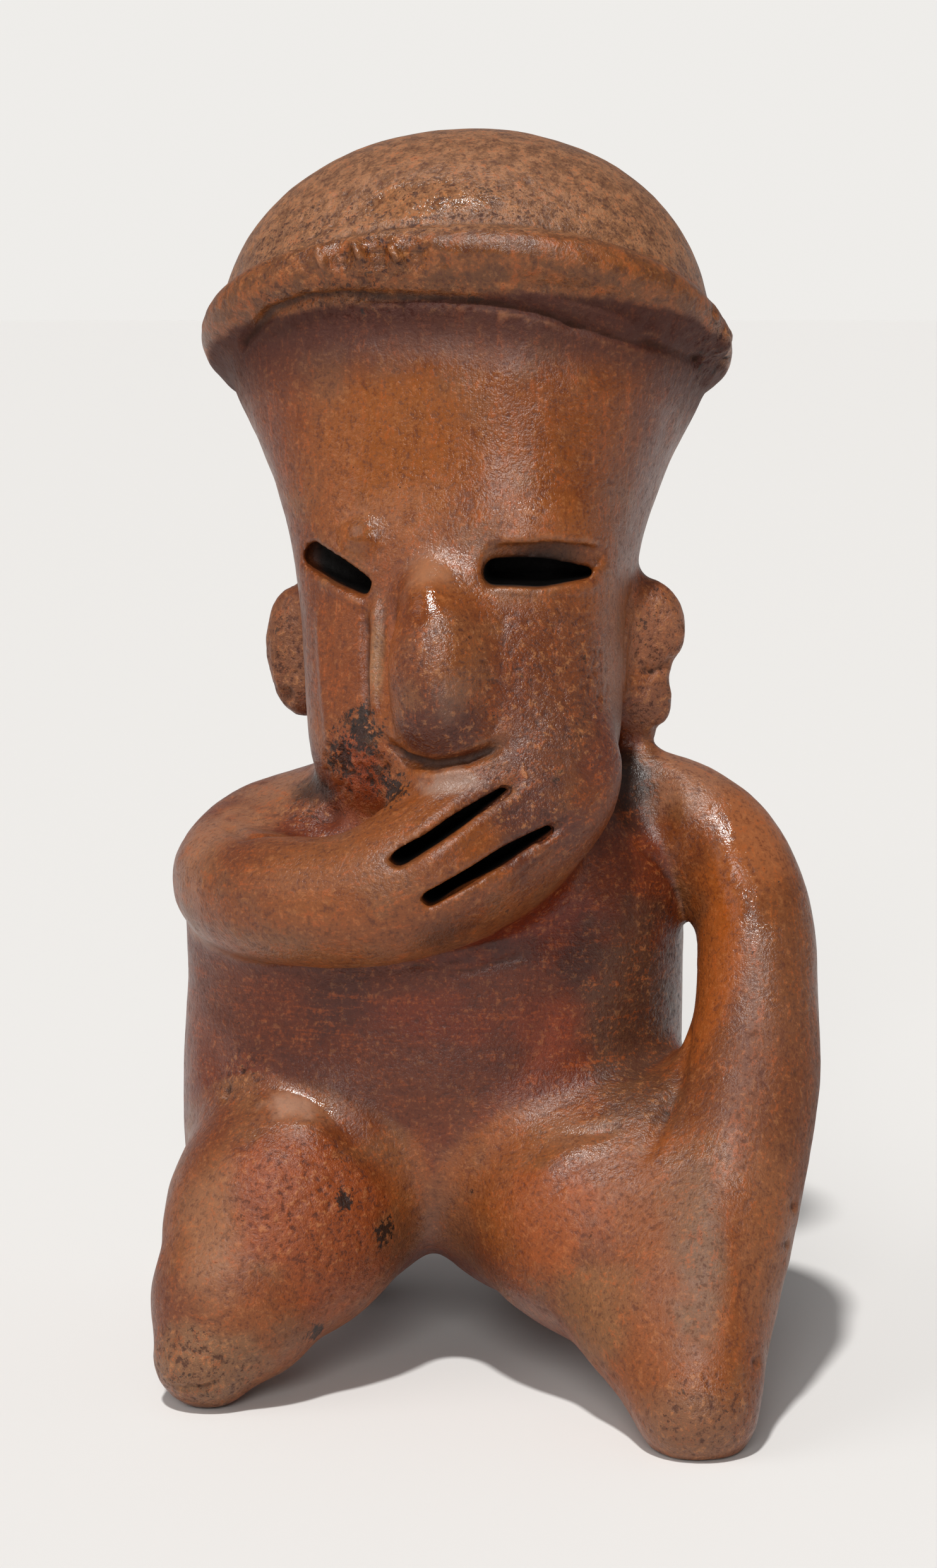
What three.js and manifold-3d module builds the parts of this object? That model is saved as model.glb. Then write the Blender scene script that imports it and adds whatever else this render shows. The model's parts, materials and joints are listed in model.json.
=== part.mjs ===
// A seated figure in burnished red earthenware, hand-built and fired as one piece: a flaring head with a
// domed cap and a roll round its brow, slit eyes, one hand laid over the mouth and the other arm bowed down
// to the knee. Millimetres, +Z up. The figure faces -Y and its left arm is on +X. The origin is on the
// ground, under the middle.
import * as THREE from 'three';
import { edgeTable, triTable } from 'three/addons/objects/MarchingCubes.js';
import { SimplifyModifier } from 'three/addons/modifiers/SimplifyModifier.js';
import { mergeVertices } from 'three/addons/utils/BufferGeometryUtils.js';
import Module from 'manifold-3d';

const radians = THREE.MathUtils.degToRad;

// Driving sizes. Places are in the figure's working frame, which is moved to its origin and scaled last.
const height = 200;
const cellSize = 1.7; // grid on which the clay surface is found
const wantedTriangles = 8600;

// Head: a cone that flares up to the brow roll, leaning back, turned a little to the figure's right, tipped
const head = {
  centre: [4.6, 12, 166], // middle of the brow roll's plane
  leanDeg: 21,
  turnDeg: -10,
  tipDeg: -4,
  // height along the head's axis, sideways offset, half width, half depth in front and behind, squareness
  stations: [
    [-84, 0.8, 17, 12, 17, 2.2],
    [-74, 1.2, 23.8, 18.5, 18, 2.5],
    [-60, 1.2, 25.2, 20.5, 20, 2.9],
    [-45, 0.8, 26.3, 22, 22, 2.9],
    [-33, 0.4, 28.6, 23, 24, 2.8],
    [-20, 0.2, 33.2, 26, 28, 2.6],
    [-8, 0.1, 38.8, 29.5, 32, 2.5],
    [4, 0.0, 41.0, 31.5, 34, 2.4],
  ],
};
const cap = { offset: -0.7, halfWidth: 40.9, halfDepth: 33, rise: 33.6, power: 2.07 };
const browRoll = { halfWidth: 39.4, halfDepth: 31.3, radius: 4.3, squareness: 2.5, endDrop: 2.4 };

// Slits: the middle of each one's inner end, its size, its slant and how far it is cut forward from there
const rightEye = { at: [-12.2, -10, 129.6], length: 13.5, height: 3.8, slantDeg: -31, depth: 36 };
const leftEye = { at: [20.6, -10, 130.6], length: 20, height: 3.4, slantDeg: 1, depth: 36 };
const fingerGaps = [
  { at: [7.2, -27, 91.6], length: 23, height: 2.7, slantDeg: 36, depth: 30 },
  { at: [12.0, -27, 84.4], length: 23, height: 2.7, slantDeg: 30, depth: 30 },
];

const torso = {
  // rows as the head's, up z: height, sideways offset, half width, half depth in front and behind, squareness
  stations: [
    [14, 0, 26, 1, 24, 2.2],
    [19, -0.5, 36, 8, 28, 2.3],
    [28, -0.5, 40.5, 22, 30, 2.3],
    [45, -0.5, 41.2, 29, 31, 2.3],
    [60, 0.3, 41.1, 29, 30, 2.3],
    [78, 0.2, 40.5, 28, 28, 2.3],
    [88, 1, 35, 25, 25, 2.2],
    [98, 4, 24, 19, 20, 2],
  ],
};

// Limbs and other rolls of clay: points down the middle, with the radius
const limbs = {
  rightArm: [
    [-12, 10, 82, 10], [-26, 3, 83, 10.4], [-31.5, -12, 79, 10.2], [-23, -29, 78.5, 10.3],
    [-8, -36, 79.5, 10.4], [4, -36, 84, 10.5],
  ],
  leftArm: [
    [22, 4, 87.2, 10.3], [37, 1, 88.6, 9.8], [47.1, -3, 84, 9.6], [52.8, -9, 74, 9.5], [53.7, -15, 62, 9.9],
    [53, -23, 48, 11], [49.6, -37, 30, 11], [47.2, -52, 14, 8.4], [45.7, -58, 7.2, 7.2],
  ],
  web: [[40, -10, 37, 9], [46, -16, 43, 7]],
  rightLeg: [[-15, -9, 31.5, 21], [-20.5, -24, 27, 20], [-26.6, -36, 17.5, 14.5], [-31.8, -43, 7.8, 8.6]],
  leftLeg: [[16.5, -8, 31, 20.5], [25, -24, 27.5, 18], [36.2, -42, 18.2, 12.2], [45.5, -58.5, 6.4, 6.8]],
  rightSeat: [[-17, 12, 42, 19], [-21, 19, 27, 18], [-24.5, 23, 15, 16.5]],
  leftSeat: [[17, 12, 42, 19], [21, 19, 27, 18], [24.5, 23, 15, 16.5]],
  nose: [[2.6, -18.5, 130, 5], [3.2, -25, 123.5, 7], [3.9, -30, 115, 8.3], [4.2, -29.6, 108.8, 8.4]],
  cheek: [[9, -20.5, 122, 7], [11, -22.5, 113, 8.5], [10.5, -22, 107, 8]],
  lap: [[2.5, -13, 44, 14], [2.8, -17.5, 36, 11.5], [3, -19, 30.8, 8.5]],
  shin: [[36, -25, 38, 10], [43, -37.5, 25, 9], [46, -46, 17, 6]],
};
const hand = {
  centre: [12, -30.5, 89.5],
  riseDeg: 34,
  halfLength: 23,
  halfWidth: 12.8,
  halfThickness: 9,
  fall: 0.2,
};
const ears = [
  // centre and half sizes of each lobe
  [[34.2, 3, 118.6], [7.2, 4.5, 8.6]],
  [[33.2, 2, 107.2], [6.0, 4.2, 7.2]],
  [[-22.8, 2, 115.5], [5.4, 4.5, 10]],
  [[-21.2, 1, 109], [4.4, 4.2, 5.6]],
];

// A smooth curve through b and c, with a and d as the points before and after.
function hermite(a, b, c, d, t) {
  return b + 0.5 * t * (c - a + t * (2 * a - 5 * b + 4 * c - d + t * (3 * (b - c) + d - a)));
}

// The row of a station table at a height, smoothly between its rows.
function stationAt(stations, height) {
  const last = stations.length - 1;
  const at = THREE.MathUtils.clamp(height, stations[0][0], stations[last][0]);
  let i = 0;
  while (i < last - 1 && at > stations[i + 1][0]) i++;
  const t = (at - stations[i][0]) / (stations[i + 1][0] - stations[i][0]);
  const before = stations[Math.max(i - 1, 0)];
  const after = stations[Math.min(i + 2, last)];
  const next = stations[i + 1];
  return stations[i].map((value, column) => hermite(before[column], value, next[column], after[column], t));
}

// Many heights of a station table worked out once.
function tabulate(stations, step) {
  const low = stations[0][0];
  const high = stations[stations.length - 1][0];
  const rows = [];
  for (let i = 0; i <= Math.ceil((high - low) / step); i++) rows.push(stationAt(stations, low + i * step));
  return { low, high, step, rows };
}

// About the distance to a rounded outline of the given half sizes.
function outlineDistance(x, y, halfWidth, halfDepth, power) {
  const u = Math.abs(x) / halfWidth;
  const v = Math.abs(y) / halfDepth;
  const k = Math.pow(Math.pow(u, power) + Math.pow(v, power), 1 / power);
  if (k < 1e-6) return -Math.min(halfWidth, halfDepth);
  const du = Math.pow(u / k, power - 1) / halfWidth;
  const dv = Math.pow(v / k, power - 1) / halfDepth;
  return (k - 1) / Math.hypot(du, dv);
}

// A column of outlines stacked up z, with rounded ends.
function columnDistance(table, x, y, z, rounding) {
  const nearest = Math.round((z - table.low) / table.step);
  const row = table.rows[THREE.MathUtils.clamp(nearest, 0, table.rows.length - 1)];
  const side = outlineDistance(x - row[1], y, row[2], y < 0 ? row[3] : row[4], row[5]);
  const end = Math.max(table.low - z, z - table.high);
  const a = side + rounding;
  const b = end + rounding;
  return Math.min(Math.max(a, b), 0) + Math.hypot(Math.max(a, 0), Math.max(b, 0)) - rounding;
}

function ellipsoidDistance(x, y, z, a, b, c) {
  const k = Math.hypot(x / a, y / b, z / c);
  if (k < 1e-6) return -Math.min(a, b, c);
  return (k * (k - 1)) / Math.hypot(x / (a * a), y / (b * b), z / (c * c));
}

// The cap, a little squarer than half an ellipsoid.
function capDistance(x, y, z) {
  const rise = z > 0 ? cap.rise : 8;
  const p = cap.power;
  const k = Math.pow(Math.pow(Math.abs(x / cap.halfWidth), p) + Math.pow(Math.abs(y / cap.halfDepth), p)
    + Math.pow(Math.abs(z / rise), p), 1 / p);
  return (k - 1) * Math.min(rise, cap.halfDepth);
}

// The flat of the hand, as an ellipsoid turned up towards the cheek.
function handDistance(x, y, z) {
  const c = Math.cos(radians(hand.riseDeg));
  const s = Math.sin(radians(hand.riseDeg));
  const dx = x - hand.centre[0];
  const dz = z - hand.centre[2];
  const along = c * dx + s * dz;
  return ellipsoidDistance(along, y - hand.centre[1] - hand.fall * along, c * dz - s * dx,
    hand.halfLength, hand.halfThickness, hand.halfWidth);
}

// Two shapes joined, with the clay smoothed into the corner between them.
function blend(a, b, width) {
  const h = Math.max(width - Math.abs(a - b), 0) / width;
  return Math.min(a, b) - (h * h * width) / 4;
}

// A roll of clay along a smooth curve through its points, as short straight pieces.
function makeLimb(points, pieces = 18, closed = false) {
  const curve = new THREE.CatmullRomCurve3(points.map((p) => new THREE.Vector3(p[0], p[1], p[2])), closed);
  const last = closed ? points.length : points.length - 1;
  const nodes = [];
  const spot = new THREE.Vector3();
  for (let i = 0; i <= pieces; i++) {
    const at = (i / pieces) * last;
    curve.getPoint(i / pieces, spot);
    const from = Math.min(Math.floor(at), last - 1);
    const t = at - from;
    const smooth = t * t * (3 - 2 * t);
    const radius = points[from][3] * (1 - smooth) + points[(from + 1) % points.length][3] * smooth;
    nodes.push([spot.x, spot.y, spot.z, radius]);
  }
  const box = new THREE.Box3().setFromPoints(nodes.map((n) => new THREE.Vector3(n[0], n[1], n[2])));
  const ball = box.getBoundingSphere(new THREE.Sphere());
  const reach = ball.radius + Math.max(...nodes.map((n) => n[3]));
  return { nodes, middle: ball.center, reach };
}

const farAway = 14;

// Past farAway from a limb's bounding ball, the distance to the ball is near enough.
function limbDistance(limb, x, y, z) {
  const away = Math.hypot(x - limb.middle.x, y - limb.middle.y, z - limb.middle.z) - limb.reach;
  if (away > farAway) return away;
  let best = Infinity;
  for (let i = 0; i < limb.nodes.length - 1; i++) {
    const a = limb.nodes[i];
    const b = limb.nodes[i + 1];
    const dx = b[0] - a[0];
    const dy = b[1] - a[1];
    const dz = b[2] - a[2];
    const length2 = dx * dx + dy * dy + dz * dz;
    const t = Math.min(1, Math.max(0, ((x - a[0]) * dx + (y - a[1]) * dy + (z - a[2]) * dz) / length2));
    const d = Math.hypot(x - a[0] - dx * t, y - a[1] - dy * t, z - a[2] - dz * t) - a[3] - (b[3] - a[3]) * t;
    if (d < best) best = d;
  }
  return best;
}

// From the figure's frame into the head's own, where z runs up the leaning axis.
const headPlace = new THREE.Matrix4()
  .makeTranslation(...head.centre)
  .multiply(new THREE.Matrix4().makeRotationZ(radians(head.turnDeg)))
  .multiply(new THREE.Matrix4().makeRotationX(radians(-head.leanDeg)))
  .multiply(new THREE.Matrix4().makeRotationY(radians(head.tipDeg)));
const intoHead = headPlace.clone().invert().elements;

const headTable = tabulate(head.stations, 0.25);
const torsoTable = tabulate(torso.stations, 0.25);

// The roll lies round the head where the cap meets it.
function browRollPoints() {
  const points = [];
  const count = 28;
  const { halfWidth, halfDepth, radius, squareness, endDrop } = browRoll;
  for (let i = 0; i < count; i++) {
    const angle = (i / count) * 2 * Math.PI;
    const c = Math.cos(angle);
    const s = Math.sin(angle);
    const sum = Math.pow(Math.abs(c), squareness) + Math.pow(Math.abs(s), squareness);
    const k = Math.pow(sum, -1 / squareness);
    const drop = s < 0 ? endDrop * (1 - 2 * c * c) : -endDrop * c * c;
    points.push([halfWidth * c * k, halfDepth * s * k, drop, radius]);
  }
  return points;
}

const parts = {
  roll: makeLimb(browRollPoints(), 84, true),
  rightArm: makeLimb(limbs.rightArm),
  leftArm: makeLimb(limbs.leftArm, 26),
  web: makeLimb(limbs.web, 4),
  rightSeat: makeLimb(limbs.rightSeat, 8),
  leftSeat: makeLimb(limbs.leftSeat, 8),
  nose: makeLimb(limbs.nose, 12),
  cheek: makeLimb(limbs.cheek, 6),
  lap: makeLimb(limbs.lap, 6),
  shin: makeLimb(limbs.shin, 8),
  rightLeg: makeLimb(limbs.rightLeg),
  leftLeg: makeLimb(limbs.leftLeg),
};

// Distance to the whole figure, below nought inside it.
function figureDistance(x, y, z) {
  const hx = intoHead[0] * x + intoHead[4] * y + intoHead[8] * z + intoHead[12];
  const hy = intoHead[1] * x + intoHead[5] * y + intoHead[9] * z + intoHead[13];
  const hz = intoHead[2] * x + intoHead[6] * y + intoHead[10] * z + intoHead[14];
  let d = columnDistance(torsoTable, x, y, z, 8);
  d = blend(d, limbDistance(parts.rightSeat, x, y, z), 10);
  d = blend(d, limbDistance(parts.leftSeat, x, y, z), 10);
  const legs = blend(limbDistance(parts.rightLeg, x, y, z), limbDistance(parts.leftLeg, x, y, z), 4);
  d = blend(d, legs, 8);
  d = blend(d, limbDistance(parts.lap, x, y, z), 5);
  let h = columnDistance(headTable, hx, hy, hz, 5);
  h = blend(h, capDistance(hx - cap.offset, hy, hz), 1.5);
  h = blend(h, limbDistance(parts.roll, hx, hy, hz), 1);
  h = blend(h, limbDistance(parts.cheek, x, y, z), 6);
  h = blend(h, limbDistance(parts.nose, x, y, z), 2.5);
  for (const [c, r] of ears) h = blend(h, ellipsoidDistance(x - c[0], y - c[1], z - c[2], ...r), 2.5);
  d = blend(d, h, 5);
  d = blend(d, limbDistance(parts.rightArm, x, y, z), 3);
  d = blend(d, handDistance(x, y, z), 8);
  const lower = THREE.MathUtils.smoothstep(54 - z, 0, 18);
  d = blend(d, limbDistance(parts.leftArm, x, y, z), 4 + 7 * lower);
  d = blend(d, limbDistance(parts.web, x, y, z), 10);
  d = blend(d, limbDistance(parts.shin, x, y, z), 8);
  return d;
}

// The surface where a distance field is nought, found cube by cube on a grid.
function surfaceOf(field, low, high, cell) {
  const counts = low.map((value, axis) => Math.ceil((high[axis] - value) / cell) + 1);
  const [nx, ny, nz] = counts;
  const values = new Float64Array(nx * ny * nz);
  let filled = 0;
  for (let k = 0; k < nz; k++)
    for (let j = 0; j < ny; j++)
      for (let n = 0; n < nx; n++) {
        values[filled] = field(low[0] + n * cell, low[1] + j * cell, low[2] + k * cell);
        filled++;
      }
  const strides = [1, nx, nx * ny];
  const corners = [[0, 0, 0], [1, 0, 0], [0, 1, 0], [1, 1, 0], [0, 0, 1], [1, 0, 1], [0, 1, 1], [1, 1, 1]];
  // cube edges in the table's order, each as its two corners
  const edges = [
    [0, 1], [1, 3], [2, 3], [0, 2], [4, 5], [5, 7], [6, 7], [4, 6], [0, 4], [1, 5], [3, 7], [2, 6],
  ];
  const offsets = corners.map((c) => c[0] * strides[0] + c[1] * strides[1] + c[2] * strides[2]);
  // the table's corner bits, by corner number
  const bits = [1, 2, 8, 4, 16, 32, 128, 64];
  const positions = [];
  const index = [];
  const made = new Map();
  const crossing = (cellIndex, edge, place) => {
    const [a, b] = edges[edge];
    const from = cellIndex + offsets[a];
    const axis = corners[b].findIndex((v, n) => v !== corners[a][n]);
    const key = from * 3 + axis;
    if (made.has(key)) return made.get(key);
    const t = values[from] / (values[from] - values[cellIndex + offsets[b]]);
    const point = corners[a].map((c, n) => low[n] + (place[n] + c) * cell);
    point[axis] += t * cell;
    positions.push(...point);
    made.set(key, positions.length / 3 - 1);
    return positions.length / 3 - 1;
  };
  for (let k = 0; k < nz - 1; k++)
    for (let j = 0; j < ny - 1; j++)
      for (let n = 0; n < nx - 1; n++) {
        const at = n + j * strides[1] + k * strides[2];
        let code = 0;
        for (let c = 0; c < 8; c++) if (values[at + offsets[c]] < 0) code |= bits[c];
        if (!edgeTable[code]) continue;
        for (let t = code * 16; triTable[t] !== -1; t += 3)
          index.push(...[2, 1, 0].map((m) => crossing(at, triTable[t + m], [n, j, k])));
      }
  const geometry = new THREE.BufferGeometry();
  geometry.setAttribute('position', new THREE.Float32BufferAttribute(positions, 3));
  geometry.setIndex(index);
  return geometry;
}

const wasm = await Module();
wasm.setup();

function toSolid(geometry) {
  const bare = geometry.clone();
  bare.deleteAttribute('normal');
  bare.deleteAttribute('uv');
  const merged = mergeVertices(bare, 1e-4);
  const mesh = new wasm.Mesh({
    numProp: 3,
    vertProperties: merged.attributes.position.array,
    triVerts: new Uint32Array(merged.index.array),
  });
  return new wasm.Manifold(mesh);
}

function toGeometry(solid) {
  const mesh = solid.getMesh();
  const geometry = new THREE.BufferGeometry();
  geometry.setAttribute('position', new THREE.BufferAttribute(new Float32Array(mesh.vertProperties), 3));
  geometry.setIndex(new THREE.BufferAttribute(new Uint32Array(mesh.triVerts), 1));
  geometry.computeVertexNormals();
  return geometry;
}

// A slit cut straight into the clay from the front, blunt at one end and drawn out at the other.
function slitCutter(slit) {
  const half = slit.length / 2;
  const outline = new THREE.Shape();
  outline.moveTo(-half, 0);
  outline.bezierCurveTo(-half, slit.height * 0.72, half * 0.2, slit.height * 0.55, half, 0.3);
  outline.lineTo(half, -0.3);
  outline.bezierCurveTo(half * 0.2, -slit.height * 0.55, -half, -slit.height * 0.72, -half, 0);
  const settings = { depth: slit.depth, bevelEnabled: false, curveSegments: 8 };
  const geometry = new THREE.ExtrudeGeometry(outline, settings);
  geometry.rotateX(Math.PI / 2);
  geometry.rotateY(radians(-slit.slantDeg));
  return geometry.translate(...slit.at);
}

const skin = surfaceOf(figureDistance, [-50, -76, -6], [74, 60, 206], cellSize);
const excess = skin.attributes.position.count - wantedTriangles / 2;
const simpler = await new SimplifyModifier().modify(skin, excess);
let solid = toSolid(simpler);
const ground = new THREE.BoxGeometry(300, 300, 40).translate(0, 0, -20);
solid = solid.subtract(toSolid(ground));
for (const slit of [rightEye, leftEye, ...fingerGaps]) solid = solid.subtract(toSolid(slitCutter(slit)));

const clay = new THREE.MeshStandardMaterial({ color: 0x9a4f2b, roughness: 0.45, metalness: 0 });
clay.name = 'burnished_clay';
const figure = new THREE.Mesh(toGeometry(solid), clay);
figure.name = 'seated_figure';
const bounds = new THREE.Box3().setFromObject(figure);
const middle = bounds.getCenter(new THREE.Vector3());
const scale = height / (bounds.max.z - bounds.min.z);
figure.geometry.translate(-middle.x, -middle.y, -bounds.min.z).scale(scale, scale, scale);

const group = new THREE.Group();
group.add(figure);
export default group;
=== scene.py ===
import json
import math

import bpy
import numpy as np
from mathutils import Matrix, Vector, noise
from mathutils.bvhtree import BVHTree

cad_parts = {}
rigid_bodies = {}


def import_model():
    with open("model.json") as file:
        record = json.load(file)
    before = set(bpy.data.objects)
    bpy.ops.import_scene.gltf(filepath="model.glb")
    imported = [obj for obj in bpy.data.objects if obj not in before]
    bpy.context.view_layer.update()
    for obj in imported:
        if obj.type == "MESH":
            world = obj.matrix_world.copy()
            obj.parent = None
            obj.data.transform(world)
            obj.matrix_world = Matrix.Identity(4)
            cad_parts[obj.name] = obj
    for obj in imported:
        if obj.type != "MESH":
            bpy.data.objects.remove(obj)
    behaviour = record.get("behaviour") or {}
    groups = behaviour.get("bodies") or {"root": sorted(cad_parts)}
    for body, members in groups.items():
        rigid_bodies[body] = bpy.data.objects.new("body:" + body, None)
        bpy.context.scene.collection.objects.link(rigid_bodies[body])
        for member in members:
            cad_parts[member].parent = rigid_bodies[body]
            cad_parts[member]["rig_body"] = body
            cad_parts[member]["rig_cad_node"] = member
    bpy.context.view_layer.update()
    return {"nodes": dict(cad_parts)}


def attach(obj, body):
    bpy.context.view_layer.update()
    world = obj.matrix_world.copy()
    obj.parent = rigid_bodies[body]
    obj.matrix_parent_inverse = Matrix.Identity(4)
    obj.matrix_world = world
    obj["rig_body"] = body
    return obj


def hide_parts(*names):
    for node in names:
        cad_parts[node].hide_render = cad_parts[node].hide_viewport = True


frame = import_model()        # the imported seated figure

mm = 0.001


def say(stage):
    print("stage:", stage)


def tint(red, green, blue):
    parts = [c / 255 for c in (red, green, blue)]
    return tuple(((c + 0.055) / 1.055) ** 2.4 if c > 0.04 else c / 12.92 for c in parts) + (1,)


def selectOnly(piece):
    bpy.ops.object.select_all(action="DESELECT")
    piece.select_set(True)
    bpy.context.view_layer.objects.active = piece


def switchTo(mode):
    bpy.ops.object.mode_set(mode=mode)


def copyOf(piece):
    selectOnly(piece)
    bpy.ops.object.duplicate()
    return bpy.context.active_object


def applyModifier(piece, kind, **settings):
    selectOnly(piece)
    bpy.ops.object.modifier_add(type=kind)
    modifier = piece.modifiers[-1]
    for key, value in settings.items():
        setattr(modifier, key, value)
    bpy.ops.object.modifier_apply(modifier=modifier.name)


def addNode(tree, kind, feeds=None, **settings):
    made = tree.nodes.new("ShaderNode" + kind)
    for key, value in settings.items():
        setattr(made, key, value)
    for name, value in (feeds or {}).items():
        if isinstance(value, bpy.types.NodeSocket):
            tree.links.new(value, made.inputs[name])
        else:
            made.inputs[name].default_value = value
    return made


def mathNode(tree, operation, first, second=0.0):
    return addNode(tree, "Math", {0: first, 1: second}, operation=operation).outputs[0]


def vectorNode(tree, operation, first, second=(0, 0, 0), output="Vector"):
    return addNode(tree, "VectorMath", {0: first, 1: second}, operation=operation).outputs[output]


def easeNode(tree, value, low, high, toLow=0.0, toHigh=1.0):
    feeds = {"Value": value, "From Min": low, "From Max": high, "To Min": toLow, "To Max": toHigh}
    return addNode(tree, "MapRange", feeds, interpolation_type="SMOOTHSTEP").outputs[0]


# Camera, light and table

photoView = {
    "place": (0.04695, -0.58707, 0.18023),
    "downward": 8.27,   # degrees below level
    "turn": 5.0,        # degrees round from straight in front
    "lens": 84.38,      # mm on a 36 mm long side
}


def placeCamera(view):
    tilt = math.radians(90 - view["downward"])
    bpy.ops.object.camera_add(location=view["place"], rotation=(tilt, 0, math.radians(view["turn"])))
    camera = bpy.context.active_object
    camera.name = "photoCamera"
    camera.data.lens = view["lens"]
    camera.data.sensor_width = 36
    camera.data.clip_start = 0.01
    bpy.context.scene.camera = camera


lamps = {
    # azimuth from the front, towards the viewer's left when negative
    "key": {"azimuth": -12, "elevation": 65, "spread": 4, "strength": 2.5, "colour": (1.0, 0.985, 0.96)},
    "front": {"azimuth": 0, "elevation": 27, "spread": 22, "strength": 1.0, "colour": (1.0, 0.99, 0.97)},
    "left": {"azimuth": -60, "elevation": 30, "spread": 40, "strength": 0.5, "colour": (1.0, 0.99, 0.98)},
}
room = {
    # white paper low down and behind, a dimmer room above and in front
    "paper": 0.4, "above": 0.2, "paperTop": (0.10, 0.45),
    "frontShare": 0.3, "sweep": (-0.7, 0.4),
    "backdrop": (0.86, 0.845, 0.82, 1),
}
table = {"radius": 9.0, "drop": 0.0001, "colour": (0.81, 0.8, 0.79, 1), "rough": 0.75, "shine": 0.2}


def lightStudio():
    for name, lamp in lamps.items():
        tilt = math.radians(90 - lamp["elevation"])
        bpy.ops.object.light_add(type="SUN", rotation=(tilt, 0, math.radians(lamp["azimuth"])))
        light = bpy.context.active_object
        light.name = name + "Light"
        light.data.energy = lamp["strength"]
        light.data.angle = math.radians(lamp["spread"])
        light.data.color = lamp["colour"]
    world = bpy.data.worlds.new("paleRoom")
    bpy.context.scene.world = world
    world.use_nodes = True
    tree = world.node_tree
    tree.nodes.clear()
    way = addNode(tree, "SeparateXYZ", {0: addNode(tree, "TexCoord").outputs["Generated"]}).outputs
    height = easeNode(tree, way["Z"], *room["paperTop"], room["paper"], room["above"])
    behind = easeNode(tree, way["Y"], *room["sweep"], room["frontShare"], 1.0)
    glow = addNode(tree, "Background", {"Color": mathNode(tree, "MULTIPLY", height, behind)})
    seen = addNode(tree, "Background", {"Color": room["backdrop"]})
    toCamera = addNode(tree, "LightPath").outputs["Is Camera Ray"]
    choose = addNode(tree, "MixShader", {0: toCamera, 1: glow.outputs[0], 2: seen.outputs[0]})
    addNode(tree, "OutputWorld", {0: choose.outputs[0]})


def makeTable():
    bpy.ops.mesh.primitive_circle_add(vertices=96, radius=table["radius"], fill_type="NGON",
                                      location=(0, 0, -table["drop"]))
    top = bpy.context.active_object
    top.name = "pale_table"
    paper = bpy.data.materials.new("palePaper")
    paper.use_nodes = True
    shader = paper.node_tree.nodes["Principled BSDF"]
    shader.inputs["Base Color"].default_value = table["colour"]
    shader.inputs["Roughness"].default_value = table["rough"]
    shader.inputs["Specular IOR Level"].default_value = table["shine"]
    top.data.materials.append(paper)


placeCamera(photoView)
lightStudio()
makeTable()
bpy.context.scene.view_settings.view_transform = "Standard"
say("camera, light and table")


# The clay body

clayBody = {
    "skinVoxel": 0.62,      # mm, the skin that the marks are pressed into
    "evenRounds": 30,       # each rubs the flats of the solid and swells back, so that nothing shrinks
    "rub": 0.5,
    "swell": -0.53,
    "calmVoxel": 1.5,
    "calmRounds": 40,
    "calmSwell": -0.52,
    "busy": (0.10, 0.30),   # mm of relief from which the even skin is kept
    "settle": 4,
    "lipPasses": 5,         # rounds the lips of the slits
    "hollowRubs": (8, 60),  # rounds of smoothing that find the narrow and the broad hollows
    "keptTriangles": 194000,
}
slits = {
    # middle of the inner end, length, height at the blunt end, slant in degrees, share of it at the tip
    "rightEye": [(-24.6, 0.92, 130), 12.6, 4.4, -25, 0.7],
    "leftEye": [(7.5, 0.92, 129.9), 17, 4.2, -2, 0.3],
    "upperFingers": [(-4.72, -16.3, 92.37), 20.6, 2.63, 32.4, 0.37],
    "lowerFingers": [(1.7, -16.1, 86.7), 23.2, 2.6, 28.5, 0.35],
}
lids = {
    # the scoop above the left eye, turned with the face and cut only a little way in
    "leftLid": [(8.8, -9.8, 132.2), 22, 6, 1, 0.5],
}
slitCut = {"turn": 0, "reach": 37}      # degrees, and mm from the inner end to past the face
lidCut = {"turn": 24, "reach": 14}
bladeShape = {"bluntPart": 0.55, "rounding": 0.42, "roundSteps": 4}
solidSlits = {
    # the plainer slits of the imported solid, closed before the slits above are cut
    "rightEye": [(-23.4, 0.92, 129.8), 14.1, 4.6, -31],
    "leftEye": [(8.5, 0.92, 130.8), 18.7, 4.4, 0],
    "upperFingers": [(-3.95, -16.1, 91.8), 23.6, 2.7, 36],
    "lowerFingers": [(0.85, -16.1, 84.55), 23.6, 2.7, 30],
}
slitRoom = {"length": 0.2, "height": 0.1}       # mm, so that a slit's own corners are found


def copyOfNode(name, pieceName):
    piece = copyOf(frame["nodes"][name])
    piece.name = pieceName
    piece.parent = None
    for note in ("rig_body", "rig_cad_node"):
        del piece[note]
    switchTo("EDIT")
    bpy.ops.mesh.select_all(action="SELECT")
    bpy.ops.mesh.remove_doubles(threshold=0.000005)
    switchTo("OBJECT")
    return piece


def closeSlits(piece):
    switchTo("EDIT")
    bpy.ops.mesh.select_all(action="DESELECT")
    switchTo("OBJECT")
    points = [v.co / mm for v in piece.data.vertices]
    for middle, length, height, slant in solidSlits.values():
        slant = math.radians(slant)
        halfLength, halfHeight = length / 2 + slitRoom["length"], height / 2 + slitRoom["height"]
        inSlit = set()
        for i, point in enumerate(points):
            x, z = point.x - middle[0], point.z - middle[2]
            along = x * math.cos(slant) + z * math.sin(slant)
            across = z * math.cos(slant) - x * math.sin(slant)
            if abs(along) < halfLength and abs(across) < halfHeight and point.y < middle[1] + 1:
                inSlit.add(i)
        for face in piece.data.polygons:
            inner = max(points[i].y for i in face.vertices) > middle[1] - 0.5
            if inSlit.issuperset(face.vertices) and (abs(face.normal.y) < 0.3 or inner):
                face.select = True
    switchTo("EDIT")
    bpy.ops.mesh.delete(type="FACE")
    bpy.ops.mesh.select_all(action="SELECT")
    bpy.ops.mesh.fill_holes(sides=0)
    bpy.ops.mesh.quads_convert_to_tris()
    switchTo("OBJECT")


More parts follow.
